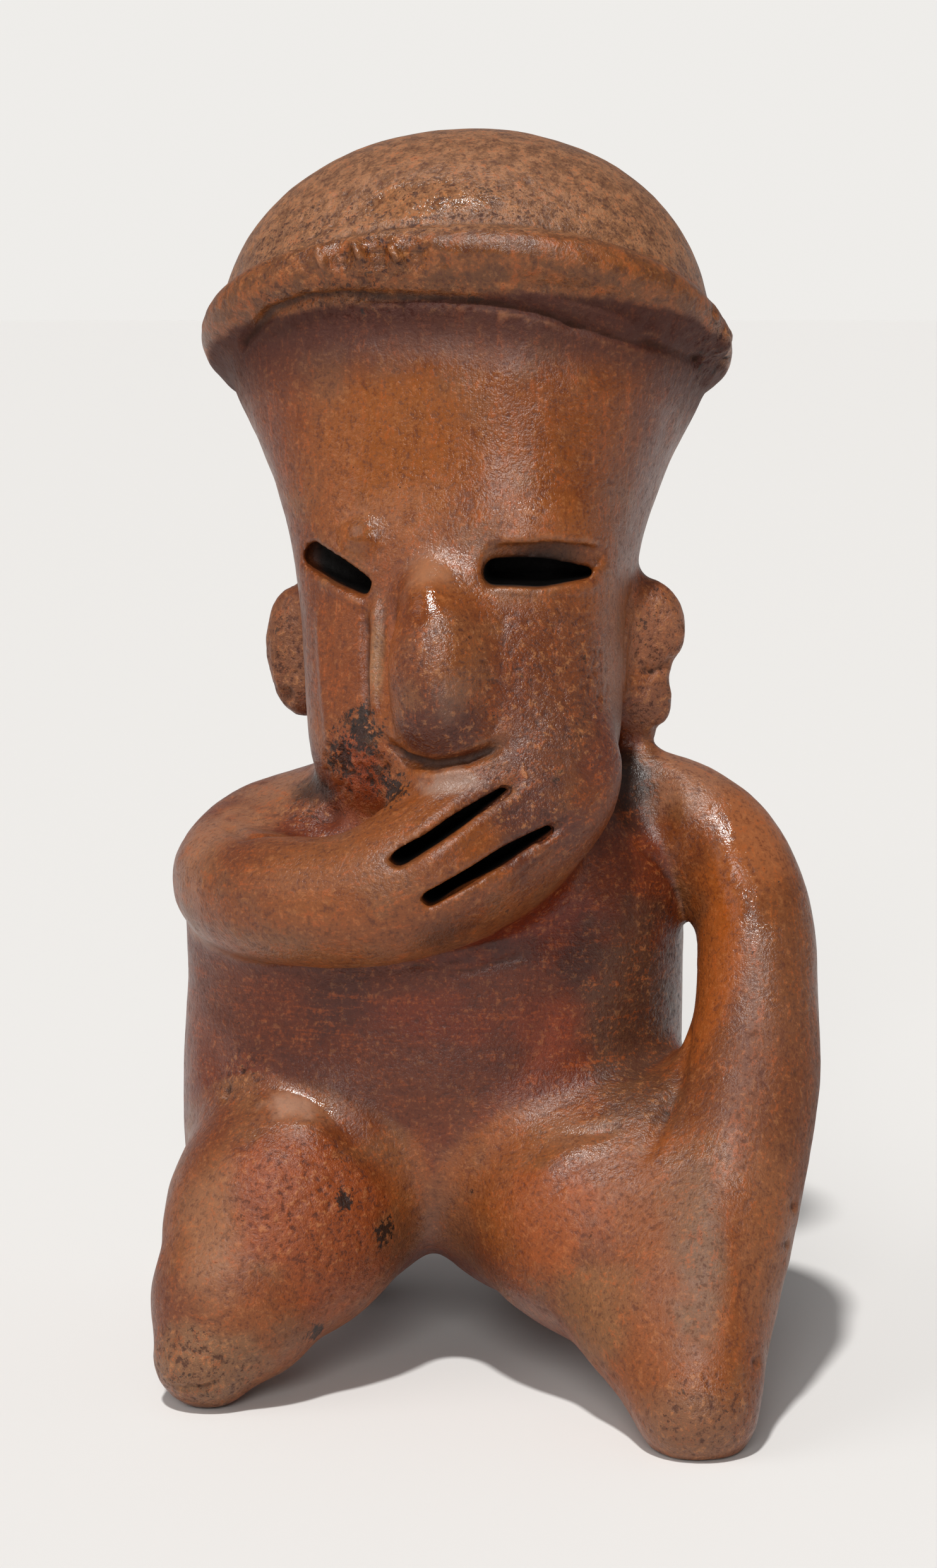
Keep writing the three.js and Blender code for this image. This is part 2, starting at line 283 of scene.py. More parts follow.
def slitBlade(middle, length, height, slant, tip, turn, reach):
    length, height, reach, turn = length * mm, height * mm, reach * mm, math.radians(turn)
    taper = length * (1 - bladeShape["bluntPart"])
    bpy.ops.object.select_all(action="DESELECT")
    bpy.ops.mesh.primitive_cube_add(size=1)
    blade = bpy.context.active_object
    blade.scale = (length - taper, reach, height)
    blade.location = (-taper / 2, 0, 0)
    bpy.ops.object.transform_apply(location=True, rotation=False, scale=True)
    switchTo("EDIT")
    bpy.ops.mesh.select_mode(type="FACE")
    bpy.ops.mesh.select_all(action="DESELECT")
    switchTo("OBJECT")
    for face in blade.data.polygons:
        face.select = face.normal.x > 0.9
    switchTo("EDIT")
    bpy.ops.mesh.extrude_region_move(TRANSFORM_OT_translate={"value": (taper, 0, 0)})
    bpy.ops.transform.resize(value=(1, 1, tip))
    bpy.ops.mesh.select_all(action="DESELECT")
    bpy.ops.mesh.select_mode(type="EDGE")
    switchTo("OBJECT")
    left = min(v.co.x for v in blade.data.vertices)
    for edge in blade.data.edges:        # the two long edges of the blunt end
        ends = [blade.data.vertices[i].co for i in edge.vertices]
        edge.select = abs(ends[0].y - ends[1].y) > reach * 0.9 and ends[0].x < left + 0.0001
    switchTo("EDIT")
    rounding, steps = bladeShape["rounding"], bladeShape["roundSteps"]
    bpy.ops.mesh.bevel(offset=height * rounding, segments=steps, affect="EDGES")
    switchTo("OBJECT")
    blade.rotation_euler = (0, -math.radians(slant), turn)
    blade.location = Vector(middle) * mm - Vector((-math.sin(turn), math.cos(turn), 0)) * reach / 2
    bpy.ops.object.transform_apply(location=True, rotation=True, scale=False)
    return blade


def cutOut(piece, cuts, turn, reach):
    blades = [slitBlade(*cut, turn, reach) for cut in cuts.values()]
    bpy.ops.object.select_all(action="DESELECT")
    for blade in blades:
        blade.select_set(True)
    knife = blades[0]
    bpy.context.view_layer.objects.active = knife
    if len(blades) > 1:
        bpy.ops.object.join()
    applyModifier(piece, "BOOLEAN", operation="DIFFERENCE", solver="EXACT", object=knife)
    bpy.data.objects.remove(knife)


def rubEven(piece, rounds, swell):
    selectOnly(piece)
    for turn in range(rounds):
        for factor in (clayBody["rub"], swell):
            rub = piece.modifiers.new("rub", "SMOOTH")
            rub.factor = factor
            rub.iterations = 1
    bpy.ops.object.convert(target="MESH")


def pointsOf(piece):
    spots = np.empty(len(piece.data.vertices) * 3)
    piece.data.vertices.foreach_get("co", spots)
    return spots.reshape(-1, 3)


def normalsOf(piece):
    normals = np.empty(len(piece.data.vertices) * 3, dtype=np.float32)
    piece.data.vertex_normals.foreach_get("vector", normals)
    return normals.reshape(-1, 3)


def ease(low, high, values):
    part = np.clip((values - low) / (high - low), 0, 1)
    return part * part * (3 - 2 * part)


def awayFrom(points, middle, size):
    # distance from the middle in sizes: 1 on the edge of the patch
    return np.linalg.norm((points - np.array(middle)) / np.array(size), axis=1)


def hollowOf(piece, passes):
    # mm that each point lies below the same skin rubbed smooth: hollows are above 0, edges below
    rubbed = copyOf(piece)
    applyModifier(rubbed, "SMOOTH", factor=0.5, iterations=passes)
    depth = ((pointsOf(rubbed) - pointsOf(piece)) * normalsOf(piece)).sum(axis=1) / mm
    bpy.data.objects.remove(rubbed)
    return depth


def skinTree(piece):
    faces = [tuple(face.vertices) for face in piece.data.polygons]
    return BVHTree.FromPolygons([v.co for v in piece.data.vertices], faces)


def makeGroup(piece, name, weights):
    group = piece.vertex_groups.new(name=name)
    for i in np.flatnonzero(weights > 0.001):
        group.add([int(i)], float(weights[i]), "REPLACE")
    return group


def makeSkin():
    figure = copyOfNode("seated_figure", "clay_figure")
    closeSlits(figure)
    calm = copyOf(figure)       # a rounder skin for the quiet parts, without the flats of the solid
    applyModifier(calm, "REMESH", mode="VOXEL", voxel_size=clayBody["calmVoxel"] * mm)
    rubEven(calm, clayBody["calmRounds"], clayBody["calmSwell"])
    applyModifier(calm, "SUBSURF", levels=1, render_levels=1)
    applyModifier(figure, "REMESH", mode="VOXEL", voxel_size=clayBody["skinVoxel"] * mm)
    rubEven(figure, clayBody["evenRounds"], clayBody["swell"])
    busy = np.abs(hollowOf(figure, clayBody["calmRounds"]))
    makeGroup(figure, "quiet", 1 - ease(*clayBody["busy"], busy))
    applyModifier(figure, "SHRINKWRAP", target=calm, wrap_method="NEAREST_SURFACEPOINT",
                  vertex_group="quiet")
    bpy.data.objects.remove(calm)
    figure.vertex_groups.clear()
    applyModifier(figure, "SMOOTH", factor=0.5, iterations=clayBody["settle"])
    uncut = skinTree(figure)
    cutOut(figure, slits, **slitCut)
    cutOut(figure, lids, **lidCut)
    applyModifier(figure, "REMESH", mode="VOXEL", voxel_size=clayBody["skinVoxel"] * mm)
    applyModifier(figure, "SMOOTH", factor=0.5, iterations=clayBody["lipPasses"])
    return figure, uncut


figure, uncutSkin = makeSkin()
say("skin of clay, %d faces" % len(figure.data.polygons))


# Marks pressed into the clay and ridges raised on it, in mm

grooves = {
    # half width, depth (below 0 it is a ridge), and the points that it passes
    "pinchA": [3.0, 1.4, (-24.2, -6.2, 180.4), (-24.2, -7, 177.4)],
    "pinchB": [2.9, 1.3, (-18, -7.6, 180.4), (-17.8, -8.1, 177)],
    "pinchC": [3.2, 1.2, (-11.8, -8.8, 180.4), (-12, -9.1, 177)],
    "pinchRimA": [0.9, -1.1, (-27.3, -4.2, 181.2), (-27.9, -5.2, 179.8), (-26.6, -6.6, 177.4)],
    "pinchRimB": [1.0, -1.3, (-22.2, -6, 181.8), (-21.3, -7.3, 180.2), (-20.4, -7.9, 178.6)],
    "pinchRimC": [0.9, -1.2, (-16.4, -8.2, 181), (-15.4, -8.7, 179.8), (-14.4, -8.9, 178.4)],
    "pinchEnd": [1.0, -0.4, (-9.4, -9, 182), (-8.6, -9.6, 180.6)],
    "rollCrease": [1.5, 1.15, (-41.6, 6.7, 165.2), (-36.1, 0.6, 170.6), (-29.9, -2.6, 172.7),
        (-23.6, -4.5, 173.2), (-15, -6.1, 172.8), (-7.9, -7.2, 172.7), (0.5, -8, 172), (7, -8, 170.8),
        (12.1, -7.3, 169.3), (25.2, -0.4, 165.5), (31.8, 12.4, 162.5)],
    "underRoll": [6.0, 0.8, (-40, 4, 160.6), (-35, -1, 165.6), (-28, -4, 167.8), (-19, -6.2, 168.4),
        (-8, -8, 167.8), (5, -9, 166.2), (16, -6.4, 163.4), (26, 0, 160)],
    "rollLip": [1.4, -0.35, (-4, -8.5, 174.6), (3, -8.8, 174.4), (10, -8.6, 172.6), (17, -6, 170.6),
        (24, -1.5, 168)],
    "rollSecond": [1.3, 0.75, (10, -8, 168.9), (17.8, -5.5, 167.1), (24.6, -0.9, 164.7)],
    "capSeam": [1.5, 0.55, (-41, 8, 174.5), (-36, 2.5, 178.5), (-29, -2, 182), (-22, -4.2, 184),
        (-12, -5.6, 185), (-3, -6, 185.2), (6, -5.2, 184.6), (15, -2.6, 182.6), (23, 2, 179.4),
        (30, 8.6, 175)],
    "browEdge": [1.5, -0.35, (-0.5, -15, 132.6), (2.5, -14.6, 134), (9, -13.2, 134.8), (15, -9.9, 134.2),
        (19.4, -5, 132.6)],
    "rightLid": [1.6, -0.3, (-29.5, -6, 134.6), (-25.5, -9.2, 132.6), (-20, -12.3, 129),
        (-17.4, -13.6, 127.2)],
    "rightLower": [1.2, -0.4, (-28.6, -8.4, 129.6), (-24.6, -11, 126.6), (-19, -14, 124.4)],
    "leftLower": [1.2, -0.35, (0, -16.6, 127.6), (8, -16, 127.2), (15, -12.6, 127.6), (19, -8, 128.2)],
    "noseRib": [1.9, -1.15, (-18.4, -14.4, 126.5), (-17.4, -15.6, 121), (-17.2, -16.6, 115),
        (-16.8, -18, 109), (-16, -18.8, 105.5)],
    "noseGroove": [1.5, 1.0, (-15.6, -16.8, 126.5), (-14.9, -18.6, 121), (-14.8, -19.6, 115),
        (-14.4, -20.6, 109), (-13.6, -21, 105)],
    "cheekGroove": [1.4, 0.75, (-19.4, -13.6, 124.7), (-19.2, -15, 118.9), (-18.9, -16.4, 113.6),
        (-18.2, -18, 107.3)],
    "noseUnder": [1.7, 1.9, (-15.8, -19.8, 104), (-12.3, -21.3, 101.4), (-7.7, -24.5, 100.9),
        (-2.5, -25, 102), (0.7, -24.4, 103.3), (4, -22.6, 104.6)],
    "lip": [2.0, -0.55, (-12.7, -20.6, 98), (-7.4, -24.4, 99.6), (-1.9, -25.4, 100.2)],
    "fingerBetween": [2.0, -0.5, (-10.2, -35.6, 85.2), (-3.6, -33.4, 90.3), (1.8, -28.7, 94),
        (6.8, -25.5, 98.1)],
    "fingerBelow": [1.8, -0.45, (-6.1, -30.5, 79.2), (-1.2, -31.3, 81.8), (4.8, -29.3, 84.8),
        (9.5, -25.9, 88.3), (12.3, -24.5, 90.4)],
    "fingerAbove": [2.0, -0.35, (-11.4, -33.5, 89.7), (-5.9, -30.1, 94.7), (-0.3, -26.4, 98.1),
        (3.5, -25.2, 100)],
    "upperGapEnd": [1.6, 1.0, (0.5, -27, 94.8), (6.9, -25, 99.8)],
    "lowerGapEnd": [1.5, 0.8, (9, -26, 90.4), (13.7, -23.9, 92.7)],
    "handTop": [2.0, 0.6, (-19, -24, 91), (-13, -25, 94.5), (-8.5, -25.8, 97.2)],
    "underForearm": [1.5, 0.6, (-30.3, -24.5, 68.9), (-19.7, -29, 69.6), (-11.9, -27, 69.6),
        (-7, -18.4, 69.9), (1.5, -17.5, 72), (5.9, -16.2, 73.5)],
    "wrinkle": [0.9, 0.4, (-6.4, -18, 67), (-2, -17.6, 67.4), (0.9, -17.1, 68.3), (6.8, -15.6, 69.8)],
    "secondWrinkle": [0.9, 0.35, (-13, -18, 68), (-8, -18, 68.2), (-3, -17.6, 69.4)],
    "elbowFold": [1.8, 0.7, (-43.7, -6.8, 88.6), (-38.3, -18.3, 88.2), (-31.9, -18.7, 88.8),
        (-25.4, -11.1, 89.7)],
    "armpit": [1.3, 0.55, (22.2, -1.9, 86.1), (26.1, 0.9, 81.6), (29.7, 5.3, 76.7)],
    "armToLeg": [2.4, 0.9, (31.4, -9.8, 55.6), (31.1, -12.3, 53.4), (30.8, -15.8, 50.9),
        (29.9, -19.5, 48.1), (28.6, -22.7, 45.3), (27.2, -26, 42.8), (25.5, -28.4, 40.4),
        (22.9, -30.9, 37.5)],
    "hipCrack": [1.0, 1.1, (-42.6, -12.7, 46.9), (-42.1, -14, 45.8), (-42.5, -15.1, 44.6)],
    "hipNick": [0.8, 0.9, (-40.2, -13.5, 49.6), (-39.2, -13.9, 49.3)],
    "leftHip": [1.9, 0.45, (12, -22.6, 42), (14.9, -24.1, 42.8), (17.6, -24.6, 43.2),
        (21.9, -23.9, 44.2)],
    "toeCrack": [0.9, 0.6, (-47.2, -38.9, 4.7), (-45.6, -39.6, 4.3), (-44, -40, 4.8), (-42, -40.1, 5),
        (-39.5, -39.7, 6.2)],
    "furrow": [3.6, 0.6, (-36, -16.5, 49.6), (-33, -18, 48.6), (-29, -19.4, 47.4), (-25, -21.2, 44.9),
        (-22.2, -22, 42.2), (-19.5, -23, 39.1), (-16.4, -22.4, 35), (-14, -21.4, 31)],
    "rightKnee": [4.4, -0.6, (-37, -19.5, 47.1), (-33.1, -21.5, 46.1), (-29.3, -23.6, 44.2),
        (-26, -25.4, 41.8), (-23, -27, 38.6)],
    "leftKnee": [4.4, -0.6, (6, -30, 34), (9.4, -29, 37), (12, -27.8, 39), (15.5, -26.2, 40.8),
        (20, -25.4, 42)],
    "legRidge": [5.6, -0.5, (34, -32, 42), (36.4, -38.4, 34), (38, -43.6, 25), (38.4, -48.6, 17),
        (37.4, -53, 10)],
    "faceRim": [1.8, -0.4, (-27.6, -8.8, 124.2), (-26.8, -11.2, 115.4), (-25.8, -13.4, 107.6),
        (-25.1, -14, 100.6)],
    "earValley": [1.8, 0.8, (21.5, 8.2, 126), (20.9, 4.6, 119.3), (20.7, 2.6, 111.3), (20.5, 9.8, 103.1)],
    "earGroove": [1.5, 0.8, (22.5, 9.5, 112.5), (25, 10, 112.2), (28.6, 12.8, 113.8)],
    "earRim": [1.6, -0.4, (25, 9.6, 125), (28, 10.8, 123), (29.6, 12, 119), (28.4, 12.6, 115.6)],
    "lobeRim": [1.5, -0.35, (24.6, 9.4, 110.8), (28, 11.6, 109), (27.2, 11.8, 104.6), (24, 10.4, 102.8)],
    "rightEarRim": [1.6, -0.35, (-34.2, 8.2, 120.4), (-37.2, 10, 116.4), (-37.2, 10, 110.6),
        (-35.4, 9.4, 106.6)],
}
grooveEnds = {
    # share of the length over which each end runs out, where it isn't the usual
    "pinchA": (0.1, 0.1), "pinchB": (0.1, 0.1), "pinchC": (0.1, 0.1), "rollCrease": (0.06, 0.06),
    "underRoll": (0.2, 0.2), "upperGapEnd": (0.05, 0.6), "lowerGapEnd": (0.05, 0.6),
    "armToLeg": (0.02, 0.6), "leftHip": (0.4, 0.4), "furrow": (0.4, 0.4), "rightKnee": (0.45, 0.45),
    "leftKnee": (0.45, 0.45), "legRidge": (0.4, 0.4),
}
usualEnds = (0.25, 0.25)
dents = {
    # middle and size in mm, and depth; a brow, cheek or knee that stands out has a depth below 0
    "lidHollow": [(9, -13.4, 132.6), (10, 5, 2.6), 0.9],
    "rightBrow": [(-20.6, -10, 135.6), (5.2, 5, 4.2), -1.1],
    "leftBrow": [(9, -12, 138.6), (13, 6, 3.8), -0.5],
    "templePlane": [(20, -4, 141), (9, 8, 12), 0.35],
    "noseBridge": [(-9.6, -18, 127.8), (5, 6, 7), -0.7],
    "noseTip": [(-5.6, -27.6, 108.6), (7, 6, 6.5), -0.7],
    "cheekHollow": [(12, -18, 119), (8, 7, 8), 0.45],
    "rightJaw": [(-23.5, -15, 99), (5, 5, 7), 0.6],
    "crustLump": [(-18.6, -17.4, 103), (3.4, 4, 4.4), -0.5],
    "elbowPit": [(-25.9, -10, 90.6), (3.6, 3.6, 2.6), 1.2],
    "neckLeft": [(24.4, 3, 92), (7, 9, 11), 2.2],
    "shoulder": [(37, -3.5, 85), (6, 6, 9), -0.5],
    "hipHollow": [(-44.5, -9, 50), (6, 7, 7), 0.7],
    "bellyRise": [(-4, -18, 47), (16, 7, 10), -0.5],
    "chestHollow": [(12, -14, 74), (10, 7, 7), 0.5],
    "capDip": [(-21, 2, 188), (10, 9, 5), 0.5],
    "capSwell": [(-6, -2.6, 187.4), (15, 8, 4.2), -0.7],
    "rollEndLump": [(36.4, 14.6, 165.6), (3.6, 4, 3.6), -1.0],
    "rollEndChip": [(36, 20.4, 161.8), (2.6, 3.4, 2.4), 1.3],
    "rollEndNick": [(34.6, 8.6, 170.4), (2.0, 2.2, 1.8), 0.8],
    "rollEndLow": [(33.6, 21, 158.8), (2.8, 3, 2.4), -0.7],
    "rollDentD": [(-7.4, -9.4, 178.4), (2.0, 2, 1.8), 0.55],
    "rollDentE": [(-28.6, -5.4, 176.6), (2.6, 2.4, 2.2), 0.5],
    "rollFlat": [(-35, 0.5, 175), (6, 4, 3.6), 0.4],
    "rightEarPit": [(-35.4, 9, 107.6), (2.0, 3, 2.0), 1.2],
    "rightEarNotch": [(-33.6, 9.4, 102.6), (2.0, 3, 1.8), 0.9],
    "earNotch": [(29.6, 13, 113.4), (2.4, 3, 1.6), 0.8],
    "lobeNotch": [(25.8, 12, 102.4), (2.2, 3, 1.5), 0.7],
    "gritHole": [(-14.8, -20.4, 96.4), (1.3, 1.6, 1.1), 0.7],
    "noseScar": [(2, -23.6, 114.5), (1.8, 2, 1.6), 0.45],
    "noseScarTwo": [(4.6, -22, 112.8), (1.4, 2, 1.3), 0.4],
    "toePad": [(-43.4, -39.6, 9.6), (6, 4, 4.6), -0.3],
    "legChip": [(49.1, -28.5, 33.1), (1.5, 1.9, 1.5), 0.75],
    "legChipLow": [(48.1, -32.3, 27.9), (1.3, 1.6, 1.1), 0.6],
    "legChipToe": [(43.6, -47.7, 13.7), (1.6, 1.8, 1.2), 0.6],
    "armNick": [(49.1, -19.3, 52), (1.1, 1.3, 1.6), 0.45],
}
pitFields = {
    # middle and size of the field in mm, how many pits, and how wide and how deep they are
    "capLeft": [(-32, 4, 184), (15, 12, 8), 60, (0.8, 1.7), (0.15, 0.5)],
    "capFront": [(-8, -2, 188), (24, 9, 6), 55, (0.7, 1.4), (0.12, 0.35)],
    "forehead": [(-26, -4, 154), (13, 10, 14), 40, (0.6, 1.2), (0.1, 0.25)],
    "cheek": [(11, -18, 112), (14, 10, 15), 110, (0.6, 1.4), (0.12, 0.4)],
    "jaw": [(-21, -16, 100), (8, 8, 10), 45, (0.8, 1.8), (0.2, 0.6)],
    "leftEar": [(27, 11, 113), (6, 7, 13), 26, (0.7, 1.5), (0.15, 0.45)],
    "rightEar": [(-35.5, 10, 111), (6, 7, 12), 22, (0.7, 1.5), (0.15, 0.4)],
    "rightThigh": [(-24, -31, 30), (14, 10, 15), 46, (0.7, 1.6), (0.12, 0.4)],
    "leftThigh": [(12, -34, 29), (11, 9, 13), 24, (0.7, 1.3), (0.1, 0.3)],
    "knee": [(22, -19, 47), (11, 8, 5), 12, (0.7, 1.3), (0.1, 0.25)],
    "upperArm": [(36, -2, 84), (12, 10, 12), 30, (0.6, 1.1), (0.08, 0.22)],
    "elbow": [(-31, -9, 91), (9, 9, 5), 20, (0.8, 1.6), (0.15, 0.4)],
    "toes": [(-43, -38, 8), (10, 8, 8), 26, (0.6, 1.3), (0.1, 0.3)],
    "back": [(-6, 40, 110), (45, 25, 85), 90, (0.7, 1.6), (0.1, 0.3)],
}
pitChance = {"seed": 11, "unevenness": (0.75, 1.35)}
roughZones = {
    # middle and size in mm, and how rough from 0 to 1
    "pinches": [(-17.6, -7, 180.4), (10.5, 6, 6), 0.8],
    "capFront": [(-12, -3, 187), (26, 9, 6.5), 0.55],
    "capLeft": [(-33, 4, 181), (12, 12, 8), 0.6],
    "capRight": [(17, 1, 184), (18, 10, 6), 0.35],
    "rollEnd": [(35, 15, 164.6), (6, 12, 9), 1.0],
    "underRoll": [(-18, -4, 172.6), (26, 8, 4), 0.6],
    "cheekCrust": [(-20.6, -16.6, 99.5), (7.6, 7, 9.6), 0.9],
    "noseSide": [(-4, -25, 114), (13, 8, 12), 0.3],
    "rightFace": [(11, -18, 113), (15, 12, 15), 0.42],
    "handTip": [(6, -26, 97), (10, 7, 8), 0.45],
    "leftEar": [(26, 11, 113), (7, 7, 15), 0.5],
    "rightEar": [(-35, 10, 111), (6, 7, 13), 0.5],
    "elbowPit": [(-27.6, -6, 92.6), (8, 8, 6), 0.6],
    "rightThigh": [(-24, -31, 32), (16, 10, 15), 0.4],
    "toes": [(-43, -38, 8), (11, 9, 8), 0.5],
    "leftToes": [(36, -54, 7), (9, 9, 9), 0.4],
    "flank": [(27, 2, 66), (9, 12, 18), 0.4],
    "leftKneeUp": [(22, -18, 47), (11, 10, 6), 0.25],
    "rightHip": [(-40, -13, 48), (8, 6, 6), 0.55],
}
handMarks = {"deepest": 3.0, "wave": (11.0, 0.26), "ripple": (3.6, 0.12), "roughGrain": (1.3, 0.36)}


def alongPath(points, path):
    # distance to the path, and how far along it the nearest spot is, from 0 to 1
    nearest, share = np.full(len(points), 1e9), np.zeros(len(points))
    path = np.array(path, float)
    steps = np.linalg.norm(path[1:] - path[:-1], axis=1)
    passed = 0
    for start, end, step in zip(path[:-1], path[1:], steps):
        run = end - start
        part = np.clip(((points - start) @ run) / step ** 2, 0, 1)
        away = np.linalg.norm(points - start - part[:, None] * run, axis=1)
        closer = away < nearest
        nearest[closer] = away[closer]
        share[closer] = (passed + part[closer] * step) / steps.sum()
        passed += step
    return nearest, share


def onSkin(tree, spots):
    return [tuple(tree.find_nearest(Vector(spot) * mm)[0] / mm) for spot in spots]


def zoneWeights(points):
    rough = np.zeros(len(points))
    for middle, size, level in roughZones.values():
        away = awayFrom(points, middle, size)
        rough = np.maximum(rough, level * (1 - ease(0.55, 1.1, away)))
    return rough


def pitDepths(points, tree):
    depth = np.zeros(len(points))
    chance = np.random.default_rng(pitChance["seed"])
    for middle, size, count, widths, depths in pitFields.values():
        for number in range(count):
            way = chance.normal(size=3)
            spot = np.array(middle) + way / np.linalg.norm(way) * chance.random() ** 0.5 * size
            spot = np.array(tree.find_nearest(Vector(spot) * mm)[0]) / mm
            across, deep = chance.uniform(*widths) / 2, chance.uniform(*depths)
            box = (np.abs(points - spot) < across * 1.4).all(axis=1)
            away = awayFrom(points[box], spot, across * chance.uniform(*pitChance["unevenness"], 3))
            depth[box] = np.maximum(depth[box], deep * (1 - np.clip(away, 0, 1) ** 2))
    return depth


def pressMarks(piece):
    points = pointsOf(piece) / mm
    tree = skinTree(piece)
    depth = np.zeros(len(points))
    for name, (half, deep, *path) in grooves.items():
        away, share = alongPath(points, onSkin(tree, path))
        near = away < half
        first, last = grooveEnds.get(name, usualEnds)
        strength = ease(0, first, share[near] + 0.05) * ease(0, last, 1.05 - share[near])
        depth[near] += deep * strength * (0.5 + 0.5 * np.cos(math.pi * away[near] / half))
    for middle, size, deep in dents.values():
        away = awayFrom(points, middle, size)
        near = away < 1
        depth[near] += deep * (1 - away[near] ** 2) ** 2
    depth += pitDepths(points, tree)
    deepest = handMarks["deepest"]
    makeGroup(piece, "pressed", np.clip(depth / deepest, 0, 1))
    makeGroup(piece, "raised", np.clip(-depth / deepest, 0, 1))
    makeGroup(piece, "rough", zoneWeights(points))
    applyModifier(piece, "DISPLACE", strength=-deepest * mm, mid_level=0, vertex_group="pressed")
    applyModifier(piece, "DISPLACE", strength=deepest * mm, mid_level=0, vertex_group="raised")
    for name, group in (("wave", ""), ("ripple", ""), ("roughGrain", "rough")):
        size, strength = handMarks[name]
        texture = bpy.data.textures.new(name, "CLOUDS")
        texture.noise_scale = size * mm
        texture.noise_depth = 1
        applyModifier(piece, "DISPLACE", strength=strength * mm, mid_level=0.5, texture=texture,
                      texture_coords="LOCAL", vertex_group=group)
    piece.vertex_groups.clear()


pressMarks(figure)
applyModifier(figure, "DECIMATE", ratio=clayBody["keptTriangles"] / (2 * len(figure.data.polygons)))
selectOnly(figure)
bpy.ops.object.shade_smooth()
say("marks pressed in, %d triangles" % len(figure.data.polygons))


def keepField(piece, name, values, kind="FLOAT", holds="value"):
    field = piece.data.attributes.new(name, kind, "POINT")
    field.data.foreach_set(holds, np.asarray(values, dtype=np.float32).ravel())


# The rolls of clay that the burnishing strokes follow

rolls = {
    # points down the middle in mm, with the radius
    "head": [(-10, -4, 86, 15), (-10, -3, 104, 16), (-13, 6, 128, 20), (-15, 17, 150, 28),
        (-15, 23, 166, 32), (2, 23, 166, 32), (2, 17, 150, 28), (-2, 6, 128, 20), (-1, -3, 104, 16)],
    "torso": [(-22, 12, 24, 28), (-22, 12, 78, 29), (1, 12, 78, 29), (1, 12, 24, 28)],
    "raisedArm": [(-23.2, 20.9, 82, 10), (-37.2, 13.9, 83, 10.4), (-42.7, -1.1, 79, 10.2),
        (-34.2, -18.1, 78.5, 10.3), (-19.2, -25.1, 79.5, 10.4), (-7.2, -25.1, 84, 10.5),
        (0.8, -19.6, 89.5, 11), (16, -13, 99, 9)],
    "bowedArm": [(10.8, 14.9, 87.2, 10.3), (25.8, 11.9, 88.6, 9.8), (35.9, 7.9, 84, 9.6),
        (41.6, 1.9, 74, 9.5), (42.5, -4.1, 62, 9.9), (41.8, -12.1, 48, 11), (38.4, -26.1, 30, 11),
        (36, -41.1, 14, 8.4), (34.5, -47.1, 7.2, 7.2)],
    "rightLeg": [(-26.2, 1.9, 31.5, 21), (-31.7, -13.1, 27, 20), (-37.8, -25.1, 17.5, 14.5),
        (-43, -32.1, 7.8, 8.6)],
    "leftLeg": [(5.3, 2.9, 31, 20.5), (13.8, -13.1, 27.5, 18), (25, -31.1, 18.2, 12.2),
        (34.3, -47.6, 6.4, 6.8)],
}
strokeLength = 9        # how many times longer than wide a burnishing stroke is


def alongRoll(points, path):
    # distance to the skin of the roll, the spot across it, and the length down it
    path = np.array(path, float)
    nearest, across, down = np.full(len(points), 1e9), np.zeros((len(points), 3)), np.zeros(len(points))
    passed = 0
    for start, end in zip(path[:-1], path[1:]):
        run, step = end[:3] - start[:3], np.linalg.norm(end[:3] - start[:3])
        part = np.clip(((points - start[:3]) @ run) / step ** 2, 0, 1)
        off = points - start[:3] - part[:, None] * run
        away = np.linalg.norm(off, axis=1) - (start[3] + part * (end[3] - start[3]))
        closer = away < nearest
        nearest[closer], across[closer] = away[closer], off[closer]
        down[closer] = passed + part[closer] * step
        passed += step
    return nearest, across, down


def keepStrokes(piece):
    points = pointsOf(piece) / mm
    found = {name: alongRoll(points, path) for name, path in rolls.items()}
    away = np.array([found[name][0] for name in rolls])
    owner, inOrder = away.argmin(axis=0), np.sort(away, axis=0)
    spots, runs = np.zeros((len(points), 3)), np.zeros(len(points))
    shares = {}
    for number, name in enumerate(rolls):
        mine = owner == number
        spots[mine], runs[mine] = found[name][1][mine], found[name][2][mine] / strokeLength
        if name == "head":      # straight up and down
            spots[mine], runs[mine] = points[mine] / (1, 1, strokeLength), 0
        if name == "torso":     # round the body
            spots[mine], runs[mine] = points[mine] / (strokeLength, strokeLength, 1), 0
        share = 1 - ease(-1.5, 1.5, away[number] - np.delete(away, number, axis=0).min(axis=0))
        keepField(piece, name, share)
        shares[name] = share
    paintSlips(piece, shares)
    keepField(piece, "strokeSpot", spots, "FLOAT_VECTOR", "vector")
    keepField(piece, "strokeRun", runs)
    keepField(piece, "strokeSure", ease(0.3, 3.5, inOrder[1] - inOrder[0]))


